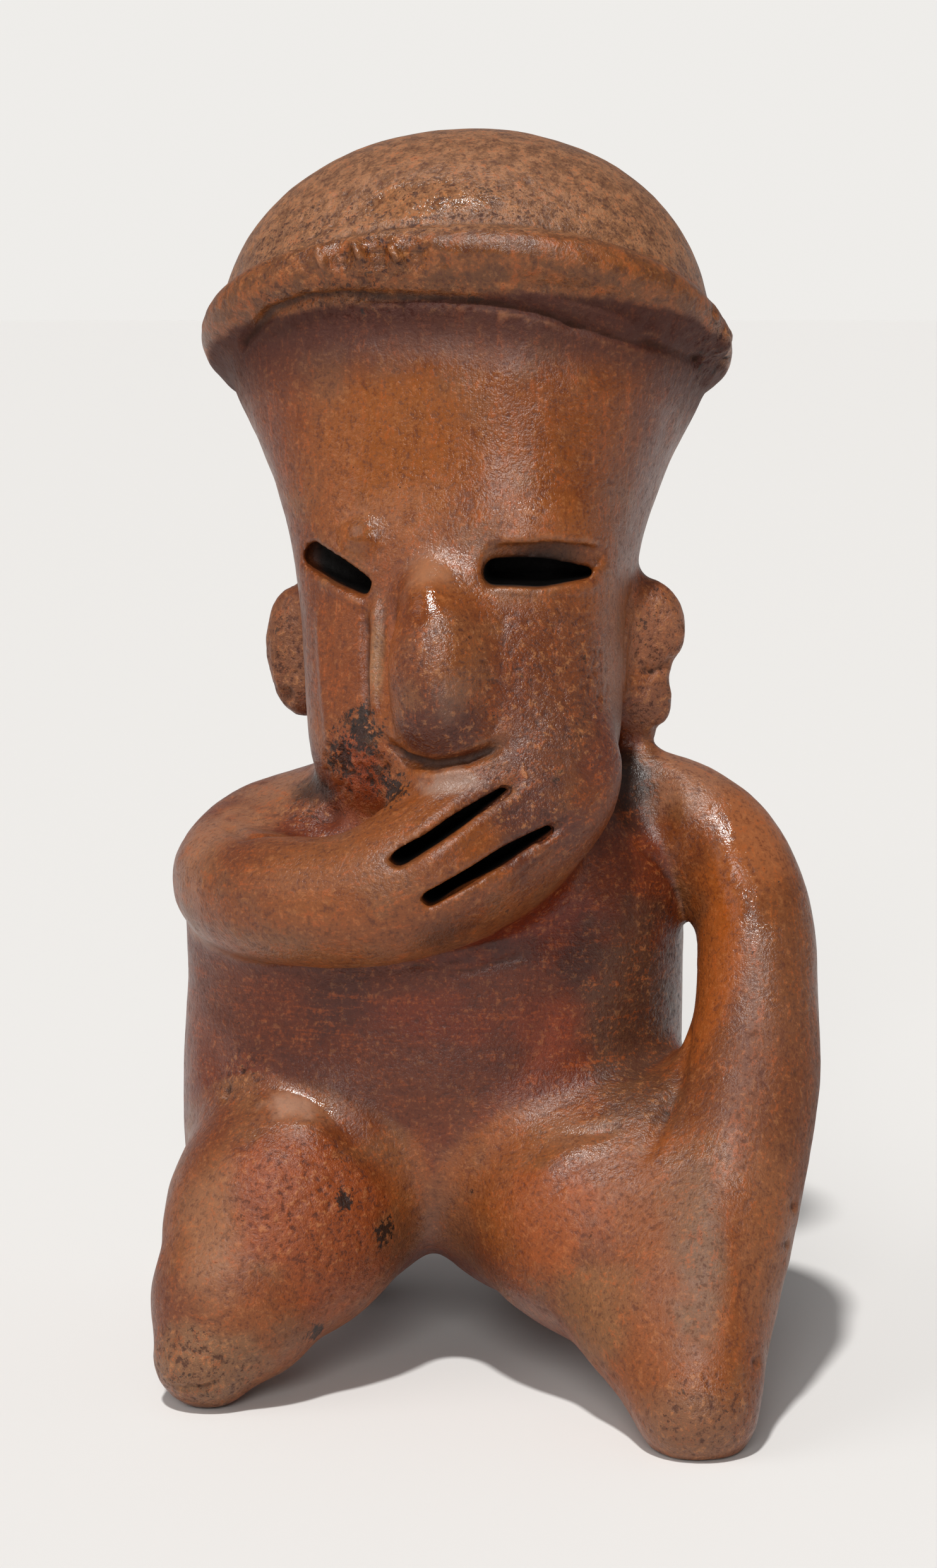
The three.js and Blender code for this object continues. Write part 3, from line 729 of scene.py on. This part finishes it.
slipPatches = {
    # middle and size in mm, colour, and unless it is the usual, how strong, soft and broken it is
    "foreheadGlow": [(-17, -9, 152), (17, 10, 17), (141, 82, 40), 0.75, 0.7, 0.5],
    "foreheadRight": [(17, -2, 150), (15, 13, 22), (117, 63, 29), 0.7, 0.6, 0.5],
    "foreheadLow": [(-14, -12, 139.5), (12, 8, 7), (143, 88, 54), 0.7, 0.8, 0.7],
    "templeLeft": [(-37, 4, 155), (9, 14, 20), (107, 50, 20), 0.7, 0.7, 0.5],
    "templeRight": [(28, 6, 150), (9, 14, 22), (98, 46, 22), 0.75, 0.7, 0.5],
    "browRight": [(9, -12, 138), (13, 7, 5), (136, 78, 38), 0.7, 0.6, 0.6],
    "cheekLeft": [(-22, -12, 116), (7, 9, 14), (122, 62, 22), 0.8, 0.5, 0.5],
    "cheekRight": [(13, -17, 117), (13, 10, 13), (106, 58, 33), 0.8, 0.5, 0.6],
    "cheekRightLow": [(12, -20, 104), (13, 10, 9), (96, 56, 38), 0.8, 0.6, 0.6],
    "jawRight": [(20, -14, 101), (7, 10, 9), (97, 50, 37), 0.8, 0.6, 0.6],
    "jawLeft": [(-21, -16, 97), (7, 8, 9), (134, 64, 26), 0.85, 0.6, 0.7],
    "noseMid": [(-4, -24, 117), (7, 7, 9), (124, 74, 42)],
    "noseRight": [(4, -22, 117), (4.5, 6, 11), (104, 54, 31)],
    "noseLow": [(-6, -27, 107), (9, 7, 7), (76, 34, 22), 0.9, 0.5, 0.5],
    "noseGroove": [(-14.4, -20, 119), (2.2, 5, 11), (142, 74, 26)],
    "earRight": [(-36, 9, 113), (6, 8, 14), (122, 77, 50), 0.8, 0.5, 0.5],
    "earLeft": [(26, 11, 118), (7, 8, 9), (145, 93, 66), 0.8, 0.5, 0.5],
    "earLobe": [(26, 11, 105), (6, 8, 7), (124, 78, 55)],
    "hand": [(-10, -28, 90), (13, 10, 9), (127, 71, 32)],
    "fingers": [(5, -24, 92), (11, 8, 10), (84, 46, 36), 0.9, 0.6, 0.6],
    "forearm": [(-25, -28, 84), (16, 10, 8), (129, 75, 38)],
    "forearmLow": [(-22, -26, 73.5), (19, 9, 5), (122, 79, 50), 0.8, 0.6, 0.6],
    "elbow": [(-44, -8, 84), (10, 14, 10), (160, 108, 78), 0.75, 0.7, 0.5],
    "shoulderRight": [(-36, 2, 93), (12, 14, 7), (152, 106, 78), 0.7, 0.7, 0.5],
    "shoulderLeft": [(30, 6, 95), (12, 12, 7), (154, 110, 88), 0.7, 0.7, 0.5],
    "hipGrey": [(25, -19, 48), (9, 9, 8), (92, 60, 42), 0.85, 0.5, 0.9],
    # painted shadow of the jaw on the neck and shoulder
    "neckShade": [(21, 4, 95), (5, 9, 9), (34, 20, 16), 0.9, 0.6, 0.8],
    # the pale rib beside the nose is a painted reflection
    "ribPale": [(-17.3, -16.8, 115), (1.8, 3, 9), (146, 108, 78), 0.8, 0.6, 0.4],
    "arm": [(43, -8, 60), (14, 30, 36), (108, 60, 31), 0.95, 0.3, 0.4],
    "armTop": [(42, 0, 86), (10, 12, 13), (154, 95, 61)],
    "armMid": [(47, -8, 64), (9, 13, 20), (114, 70, 44)],
    "armInner": [(35.5, -8, 63), (6, 12, 26), (146, 78, 32), 0.95, 0.5, 0.6],
    "chest": [(6, -16, 75), (19, 8, 8), (98, 30, 8), 0.85, 0.6, 0.6],
    "torsoRed": [(-8, -18, 60), (13, 7, 5), (116, 44, 17), 0.7, 0.7, 1.0],
    "torsoRedSide": [(11, -17, 58), (9, 7, 6), (122, 50, 22), 0.7, 0.6, 1.0],
    "torsoDark": [(15, -14, 68), (5, 6, 7), (56, 28, 22), 0.7, 0.7, 0.9],
    "torsoDarkSide": [(-24, -17, 62), (7, 7, 7), (68, 32, 24), 0.6, 0.7, 0.9],
    "torsoRight": [(-42, 0, 58), (11, 14, 20), (110, 58, 38), 0.8, 0.7, 0.6],
    "flankGrey": [(24, -9, 56), (11, 14, 22), (84, 56, 43), 0.9, 0.5, 0.7],
    "belly": [(-12, -19, 46), (17, 8, 9), (110, 55, 30), 0.7, 0.7, 0.6],
    "bellyLow": [(4, -20, 40), (13, 9, 7), (96, 58, 40), 0.6, 0.7, 0.8],
    "rightThigh": [(-26, -31, 30), (19, 10, 18), (134, 64, 24), 0.9, 0.5, 0.6],
    "rightShin": [(-42, -32, 25), (6.5, 12, 17), (138, 94, 66), 0.85, 0.6, 0.5],
    # paler knee top: pale bloom, and partly a painted highlight
    "rightKnee": [(-30, -23, 45.5), (9, 7, 4.5), (150, 108, 86), 0.6, 0.8, 0.8],
    "rightToe": [(-42, -40, 8), (12, 9, 8), (126, 91, 66), 0.85, 0.5, 0.6],
    "crotch": [(-5, -16, 27), (11, 9, 12), (118, 75, 52), 0.8, 0.7, 0.7],
    "leftThigh": [(10, -33, 31), (11, 8, 12), (138, 70, 26), 0.9, 0.5, 0.9],
    # paler knee top: pale bloom, and partly a painted highlight
    "leftKnee": [(16, -25, 43), (10, 7, 4.5), (134, 96, 74), 0.6, 0.8, 0.8],
    "leftShin": [(18, -41, 19), (10, 9, 10), (126, 86, 55), 0.85, 0.6, 0.5],
    "legBand": [(34.5, -42, 27), (5, 14, 24), (112, 84, 64), 0.75, 0.7, 0.7],
    "legSide": [(46, -36, 27), (7, 16, 22), (132, 84, 55)],
    "leftToe": [(34, -53, 6), (9, 9, 7), (121, 83, 60), 0.85, 0.5, 0.5],
    "backCloud": [(-24, 44, 120), (22, 20, 28), (84, 54, 40), 0.6, 0.8, 0.9],
    "sideCloud": [(30, 30, 60), (18, 22, 20), (96, 62, 46), 0.6, 0.8, 0.9],
    "capCloud": [(14, 40, 190), (26, 20, 12), (84, 60, 46), 0.6, 0.8, 0.9],
}
slipOwners = {
    # patches that stay on their own part
    "torso": ("chest", "torsoRed", "torsoRedSide", "torsoDark", "torsoDarkSide", "torsoRight", "flankGrey",
              "belly", "bellyLow"),
    "bowedArm": ("arm", "armTop", "armMid", "armInner", "legSide"),
}
sheen = {
    # middle and size in mm, how dull from 0 to 1
    "face": [(-4, -18, 118), (22, 14, 26), 0.4],
    "forehead": [(-8, -9, 150), (34, 14, 20), 0.22],
    "brow": [(-20.6, -11, 135.6), (6, 5, 4), 0.0],
    "noseBridge": [(-9.4, -19, 127), (5, 6, 10), 0.0],
    "cap": [(-7, 25, 188), (52, 48, 12), 0.85],
    "capFront": [(-12, -1, 187.5), (13, 6, 5), 0.0],
    "rollTop": [(-4, -9, 178.6), (12, 5, 3.4), 0.2],
    "pinches": [(-18, -7, 180.6), (12, 4, 2.4), 0.1],
    "rightEar": [(-36, 10, 112), (7, 8, 14), 0.8],
    "leftEar": [(27, 11, 112), (7, 8, 15), 0.8],
    "torso": [(-10, -6, 56), (34, 22, 22), 0.6],
    "shoulder": [(41, -3, 82), (11, 10, 17), 0.1],
    "lowerArm": [(46, -16, 44), (14, 22, 22), 1.0],
    "leftLeg": [(28, -36, 20), (24, 26, 24), 1.0],
    "rightLeg": [(-33, -28, 22), (24, 24, 22), 0.9],
    "rightKnee": [(-30.4, -22, 45.6), (9, 6, 3.4), 0.0],
    "leftKnee": [(14.5, -26, 41.5), (8, 6, 3), 0.35],
}
usualCover = (0.8, 0.6, 0.5)
patchSwell = 1.15       # patches reach this much past their size
usualDullness = 0.55
slipColours = {"light": (128, 71, 33), "dark": (108, 56, 28), "brown": (120, 78, 50),
               "torso": (98, 41, 20)}
slipClouds = {"broad": 26, "grain": 4.5, "brown": 9}        # sizes in mm


def cloudAt(points, size, layers=3):
    # a soft noise from 0 to 1
    return np.array([0.5 + 0.5 * noise.fractal(Vector(p) / size, 1.0, 2.0, layers) for p in points])


def paintSlips(piece, shares):
    points = pointsOf(piece) / mm
    broad, grain = cloudAt(points, slipClouds["broad"]), cloudAt(points, slipClouds["grain"])
    colours = {name: np.array(tint(*rgb)[:3]) for name, rgb in slipColours.items()}

    def cover(under, share, colour):
        return under + np.clip(share, 0, 1)[:, None] * (colour - under)

    slip = cover(np.tile(colours["dark"], (len(points), 1)), ease(0.35, 0.62, broad), colours["light"])
    slip = cover(slip, 0.7 * ease(0.5, 0.8, cloudAt(points, slipClouds["brown"])), colours["brown"])
    slip = cover(slip, 0.9 * ease(0.25, 0.75, shares["torso"] + 0.6 * (grain - 0.5)), colours["torso"])
    owners = {name: shares[owner] for owner, names in slipOwners.items() for name in names}
    for name, (middle, size, rgb, *covering) in slipPatches.items():
        strength, soft, ragged = covering or usualCover
        away = awayFrom(points, middle, size) / patchSwell + ragged * (grain - 0.5)
        share = strength * (1 - ease(1 - soft, 1, away)) * owners.get(name, 1)
        slip = cover(slip, share, np.array(tint(*rgb)[:3]))
    dull = np.full(len(points), usualDullness)
    for middle, size, value in sheen.values():
        away = awayFrom(points, middle, size) + 0.5 * (grain - 0.5)
        dull += (1 - ease(0.5, 1.1, away)) * (value - dull)
    keepField(piece, "dull", dull)
    keepField(piece, "slipColour", np.c_[slip, np.ones(len(points))], "FLOAT_COLOR", "color")


# the dark behind the lips of a slit is painted shade
darkBehind = (1.6, 4.6)     # mm behind the lips of a slit where the dark begins and is full


def keepSlitDepth(piece):
    away = [uncutSkin.find_nearest(v.co)[3] / mm for v in piece.data.vertices]
    keepField(piece, "insideSlit", ease(*darkBehind, np.array(away)))


for name, rounds in zip(("hollow", "broadHollow"), clayBody["hollowRubs"]):
    keepField(figure, name, hollowOf(figure, rounds))
keepField(figure, "roughClay", zoneWeights(pointsOf(figure) / mm))
keepStrokes(figure)
keepSlitDepth(figure)


# The look of the clay

def mixColour(tree, share, under, over, blend="MIX"):
    feeds = {0: share, 6: under, 7: over}
    return addNode(tree, "Mix", feeds, data_type="RGBA", blend_type=blend).outputs[2]


def noiseOf(tree, place, size, detail=2.0, rough=0.55):
    feeds = {"Vector": place, "Scale": 1 / size, "Detail": detail, "Roughness": rough}
    return addNode(tree, "TexNoise", feeds).outputs["Fac"]


def newEffect(name, takes, gives):
    tree = bpy.data.node_groups.new(name, "ShaderNodeTree")
    for socket, value in takes.items():
        kind = "NodeSocketVector" if isinstance(value, tuple) else "NodeSocketFloat"
        tree.interface.new_socket(name=socket, in_out="INPUT", socket_type=kind).default_value = value
    tree.interface.new_socket(name=gives, in_out="OUTPUT", socket_type="NodeSocketFloat")
    return tree, tree.nodes.new("NodeGroupInput").outputs, tree.nodes.new("NodeGroupOutput").inputs[0]


def raggedEdge(tree, take):
    return mathNode(tree, "MULTIPLY", mathNode(tree, "SUBTRACT", take["Grain"], 0.5), take["Break"])


def makePatchEffect():
    # a soft round patch, its edge broken up by a grain
    tree, take, mask = newEffect("softPatch", {
        "Place": (0, 0, 0), "Middle": (0, 0, 0), "Size": (1, 1, 1), "Soft": 0.5, "Break": 0.4,
        "Grain": 0.5}, "Mask")
    off = vectorNode(tree, "SUBTRACT", take["Place"], take["Middle"])
    part = vectorNode(tree, "DIVIDE", off, take["Size"])
    away = vectorNode(tree, "LENGTH", part, output="Value")
    away = mathNode(tree, "ADD", away, raggedEdge(tree, take))
    start = mathNode(tree, "SUBTRACT", 1.0, take["Soft"])
    tree.links.new(easeNode(tree, away, start, 1.0, 1.0, 0.0), mask)
    return tree


def makeLevelEffect():
    # from 0 to 1 across a slanted level, such as the brow roll's
    tree, take, mask = newEffect("slantedLevel", {
        "Place": (0, 0, 0), "Middle": (0, 0, 0), "Axis": (0, 0, 1), "From": 0.0, "To": 1.0,
        "Break": 0.4, "Grain": 0.5}, "Mask")
    off = vectorNode(tree, "SUBTRACT", take["Place"], take["Middle"])
    height = vectorNode(tree, "DOT_PRODUCT", off, take["Axis"], "Value")
    height = mathNode(tree, "ADD", height, raggedEdge(tree, take))
    tree.links.new(easeNode(tree, height, take["From"], take["To"]), mask)
    return tree


def makeStrokeEffect():
    # long marks of the burnishing pebble
    tree, take, value = newEffect("burnishStrokes", {
        "Spot": (0, 0, 0), "Run": 0.0, "Width": 1.0, "Detail": 2.0}, "Value")
    scale = mathNode(tree, "DIVIDE", 1.0, take["Width"])
    feeds = {"Vector": take["Spot"], "W": take["Run"], "Scale": scale, "Detail": take["Detail"],
             "Roughness": 0.6}
    tree.links.new(addNode(tree, "TexNoise", feeds, noise_dimensions="4D").outputs["Fac"], value)
    return tree


claySpots = {
    # middle and size in mm, colour, how strongly it covers, how soft and how broken its edge is
    # painted shade in the fold where the jaw meets the raised arm
    "jawCornerShadeRight": [(-28.8, -3.6, 94.4), (8, 8, 4), (44, 30, 25), 0.8, 0.7, 2.2],
    # painted shadow of the jaw on the neck
    "jawShadowLeft": [(22, 4, 96), (6, 8, 8), (40, 25, 20), 0.8, 0.7, 1.6],
    "crust": [(-20, -17, 99), (6.5, 6, 9), (146, 58, 20), 0.6, 0.6, 2.4],
    "crustHigh": [(-19.4, -17.8, 105.2), (3, 3.5, 4.4), (24, 18, 17), 0.9, 0.5, 4.2],
    "crustMid": [(-23.6, -15.2, 100.4), (3, 3.5, 4.6), (24, 18, 17), 0.85, 0.5, 4.6],
    "crustLow": [(-14.6, -20.6, 96.2), (4.2, 3.5, 2.8), (26, 19, 17), 0.9, 0.5, 4.4],
    # pale bloom on the nose bridge, and a painted highlight
    "noseBridge": [(-9.2, -16.5, 129.5), (5.6, 6, 9), (170, 124, 98), 0.6, 0.9, 1.6],
    "noseGrey": [(-4, -27, 112.5), (5, 5, 5), (128, 98, 82), 0.4, 0.9, 2.6],
    # pale lip ridge, painted as its highlight
    "lip": [(-4.3, -26, 98.5), (7, 4, 3), (150, 124, 114), 0.7, 0.7, 2.4],
    "wristSmudge": [(-6, -31, 76), (9, 7, 3.6), (58, 36, 28), 0.6, 0.8, 3.0],
    # painted shadow of the hand on the chest
    "underHandShadow": [(4, -17, 70), (10, 6, 3.6), (56, 24, 15), 0.6, 0.8, 2.4],
    # pale bloom on the knee top, and a painted highlight
    "kneeBloomAndHighlight": [(-31, -22.5, 46), (7, 6, 2.6), (186, 150, 134), 0.5, 0.9, 2.6],
    "thighSpot": [(-21.4, -29.5, 32.7), (1.6, 3, 2.0), (26, 18, 15), 0.9, 0.5, 4.0],
    "thighSpotLow": [(-15.5, -24.8, 26.4), (1.6, 3, 2.4), (26, 18, 15), 0.9, 0.5, 4.0],
    "thighSpotToe": [(-25.9, -30.5, 11.4), (1.4, 3, 2.2), (26, 18, 15), 0.9, 0.5, 3.6],
}
clayColours = {
    "cap": (158, 113, 83), "capDark": (118, 81, 57), "roll": (130, 76, 38), "rollDark": (106, 64, 34),
    # underRoll is the colour of the painted shadow under the brow roll
    "underRoll": (56, 15, 4), "hollowDirtAndShade": (48, 25, 15), "wear": (178, 122, 84), "specks": (24, 18, 17),
    # slitShade is the painted shade inside the slits
    "slitShade": (14, 9, 7), "orange": (172, 84, 30), "plum": (82, 34, 22), "pit": (58, 26, 18),
    "grain": (186, 128, 84), "warmth": (249, 242, 229),     # the last is a tint over the whole
}
rollPlane = {"Middle": (-6.6, 22.95, 166.2), "Axis": (-0.007, 0.364, 0.931)}
rollLevels = {
    # where it starts and ends in mm over that plane, and how broken its edge is; shadow is the band of
    # painted shadow under the roll
    "brow": (-5.2, -4.0, 2.0), "roll": (3.4, 5.2, 3.0), "shadow": (-19.0, -7.0, 4.0),
}
clayLook = {
    # sizes of the grain in mm
    "medium": 8, "small": 2.6, "fine": 0.6, "gritty": 1.2, "stroke": 1.5, "fineStroke": 0.45,
    # how strongly each shows
    "orange": 0.45, "plum": 0.5, "grit": 0.42, "pits": 0.8, "grains": 0.5, "specks": 0.8, "hollowDirtAndShade": 0.8,
    "wear": 0.35, "shadow": 0.5, "deepShadow": 0.72,
    # roughness where it is burnished, and what dullness, grain, the dirt and painted shade of the hollows,
    # and the painted shade of the slits and under the roll add
    "burnished": 0.08, "dulled": 0.5, "grainRough": 0.3, "hollowRough": 0.3, "paintedShadeRough": 0.35,
    "shine": 0.42,
    # heights in mm
    "fineHeight": 0.085, "gritHeight": 0.36, "strokeHeight": 0.05, "fineStrokeHeight": 0.03,
    "speckDepth": 0.08,
    "rubbedDown": 0.4,      # share of the grit left where it is burnished
}


def fieldOf(tree, name, output="Fac"):
    return addNode(tree, "Attribute", attribute_name=name, attribute_type="GEOMETRY").outputs[output]


def makeClay(look):
    clay = bpy.data.materials.new("burnishedClay")
    clay.use_nodes = True
    tree = clay.node_tree
    shader = tree.nodes["Principled BSDF"]
    effects = {"patch": makePatchEffect(), "level": makeLevelEffect(), "strokes": makeStrokeEffect()}

    def use(effect, feeds):
        return addNode(tree, "Group", feeds, node_tree=effects[effect]).outputs[0]

    def times(first, second):
        return mathNode(tree, "MULTIPLY", first, second)

    def plus(first, second):
        return mathNode(tree, "ADD", first, second)

    def larger(first, second):
        return mathNode(tree, "MAXIMUM", first, second)

    def swing(value, strength):     # a noise round nothing
        return times(mathNode(tree, "SUBTRACT", value, 0.5), strength)

    def colour(name):
        return tint(*clayColours[name])

    def over(share, under, name, amount=1.0):
        return mixColour(tree, times(share, amount), under, colour(name))

    where = addNode(tree, "TexCoord").outputs["Object"]
    place = addNode(tree, "VectorMath", {0: where, "Scale": 1 / mm}, operation="SCALE").outputs[0]
    medium = noiseOf(tree, place, look["medium"], 3)
    small = noiseOf(tree, place, look["small"], 3, 0.6)
    fine = noiseOf(tree, place, look["fine"], 3, 0.7)
    gritty = noiseOf(tree, place, look["gritty"], 3, 0.72)
    grain = plus(times(medium, 0.55), times(small, 0.45))
    hollow, broadHollow = fieldOf(tree, "hollow"), fieldOf(tree, "broadHollow")
    roughClay, dull = fieldOf(tree, "roughClay"), fieldOf(tree, "dull")
    inside, sure = fieldOf(tree, "insideSlit"), fieldOf(tree, "strokeSure")
    stroke = {"Spot": fieldOf(tree, "strokeSpot", "Vector"), "Run": fieldOf(tree, "strokeRun")}
    strokes = use("strokes", dict(stroke, Width=look["stroke"], Detail=3.0))
    fineStrokes = use("strokes", dict(stroke, Width=look["fineStroke"], Detail=2.0))

    def aboveLevel(name):
        low, high, ragged = rollLevels[name]
        return use("level", dict(rollPlane, Place=place, Grain=grain, From=low, To=high, Break=ragged))

    # roll and cap over the slip, and the painted shadow under the brow roll
    shade = fieldOf(tree, "slipColour", "Color")
    aboveBrow, aboveRoll = aboveLevel("brow"), aboveLevel("roll")
    paintedRollShadow = times(aboveLevel("shadow"), mathNode(tree, "SUBTRACT", 1.0, aboveBrow))
    shade = over(paintedRollShadow, shade, "underRoll", look["shadow"])
    rollShade = mixColour(tree, easeNode(tree, small, 0.42, 0.62), colour("rollDark"), colour("roll"))
    shade = mixColour(tree, aboveBrow, shade, rollShade)
    capGrain = easeNode(tree, plus(small, times(fine, 0.5)), 0.6, 0.95)
    shade = mixColour(tree, aboveRoll, shade, mixColour(tree, capGrain, colour("capDark"), colour("cap")))

    # mottle, strokes, pits and grains
    streaks = times(plus(swing(strokes, 0.9), swing(fineStrokes, 0.8)), sure)
    uneven = plus(streaks, plus(swing(fine, 1.3), swing(small, 0.7)))
    shade = over(easeNode(tree, uneven, 0.02, 0.4), shade, "orange", look["orange"])
    shade = over(easeNode(tree, uneven, -0.4, -0.02, 1.0, 0.0), shade, "plum", look["plum"])
    gritLevel = plus(look["grit"], roughClay)
    pits = times(easeNode(tree, gritty, 0.34, 0.47, 1.0, 0.0), gritLevel)
    shade = over(pits, shade, "pit", look["pits"])
    shade = over(times(easeNode(tree, gritty, 0.54, 0.68), gritLevel), shade, "grain", look["grains"])
    # the painted shadow under the brow roll once more, over the grain
    shade = over(paintedRollShadow, shade, "underRoll", look["deepShadow"])

    # spots and specks, with painted shade at the jaw corners and under the hand
    for middle, size, rgb, cover, soft, ragged in claySpots.values():
        mask = use("patch", {"Place": place, "Middle": middle, "Size": size, "Soft": soft, "Break": ragged,
                             "Grain": gritty if ragged > 3 else grain})
        shade = mixColour(tree, times(mask, cover), shade, tint(*rgb))
    speckLevel = plus(times(small, 0.6), times(fine, 0.55))
    speckLevel = plus(speckLevel, plus(times(roughClay, 0.13), times(medium, 0.3)))
    specks = easeNode(tree, speckLevel, 0.90, 0.95)
    shade = over(specks, shade, "specks", look["specks"])

    # dirt and painted shade in the narrow and broad hollows, wear on the edges, painted shade inside the
    # slits
    hollowDirtAndShade = easeNode(tree, plus(hollow, swing(small, 0.12)), 0.02, 0.30)
    broadDirtAndShade = easeNode(tree, broadHollow, 0.35, 1.6, 0.0, 0.5)
    shade = over(larger(hollowDirtAndShade, broadDirtAndShade), shade, "hollowDirtAndShade", look["hollowDirtAndShade"])
    wear = times(easeNode(tree, hollow, -0.28, -0.04, 1.0, 0.0), easeNode(tree, small, 0.4, 0.6))
    shade = over(wear, shade, "wear", look["wear"])
    shade = mixColour(tree, 1.0, shade, colour("warmth"), "MULTIPLY")
    tree.links.new(over(inside, shade, "slitShade"), shader.inputs["Base Color"])

    # gloss
    rough = plus(look["burnished"], times(dull, look["dulled"]))
    rough = plus(rough, swing(small, look["grainRough"]))
    rough = plus(rough, times(larger(hollowDirtAndShade, pits), look["hollowRough"]))
    rough = plus(rough, times(larger(inside, paintedRollShadow), look["paintedShadeRough"]))
    tree.links.new(rough, shader.inputs["Roughness"])
    shader.inputs["Specular IOR Level"].default_value = look["shine"]

    # fine surface
    lines = plus(times(strokes, look["strokeHeight"]), times(fineStrokes, look["fineStrokeHeight"]))
    grit = plus(times(fine, look["fineHeight"]), times(gritty, times(gritLevel, look["gritHeight"])))
    grit = times(grit, easeNode(tree, dull, 0.0, 0.5, look["rubbedDown"], 1.0))
    height = plus(plus(grit, times(lines, sure)), times(specks, -look["speckDepth"]))
    bump = addNode(tree, "Bump", {"Height": height, "Strength": 1.0, "Distance": mm})
    tree.links.new(bump.outputs[0], shader.inputs["Normal"])
    return clay


figure.data.materials.clear()
figure.data.materials.append(makeClay(clayLook))
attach(figure, "root")
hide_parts("seated_figure")
say("figure, %d triangles" % sum(len(face.vertices) - 2 for face in figure.data.polygons))
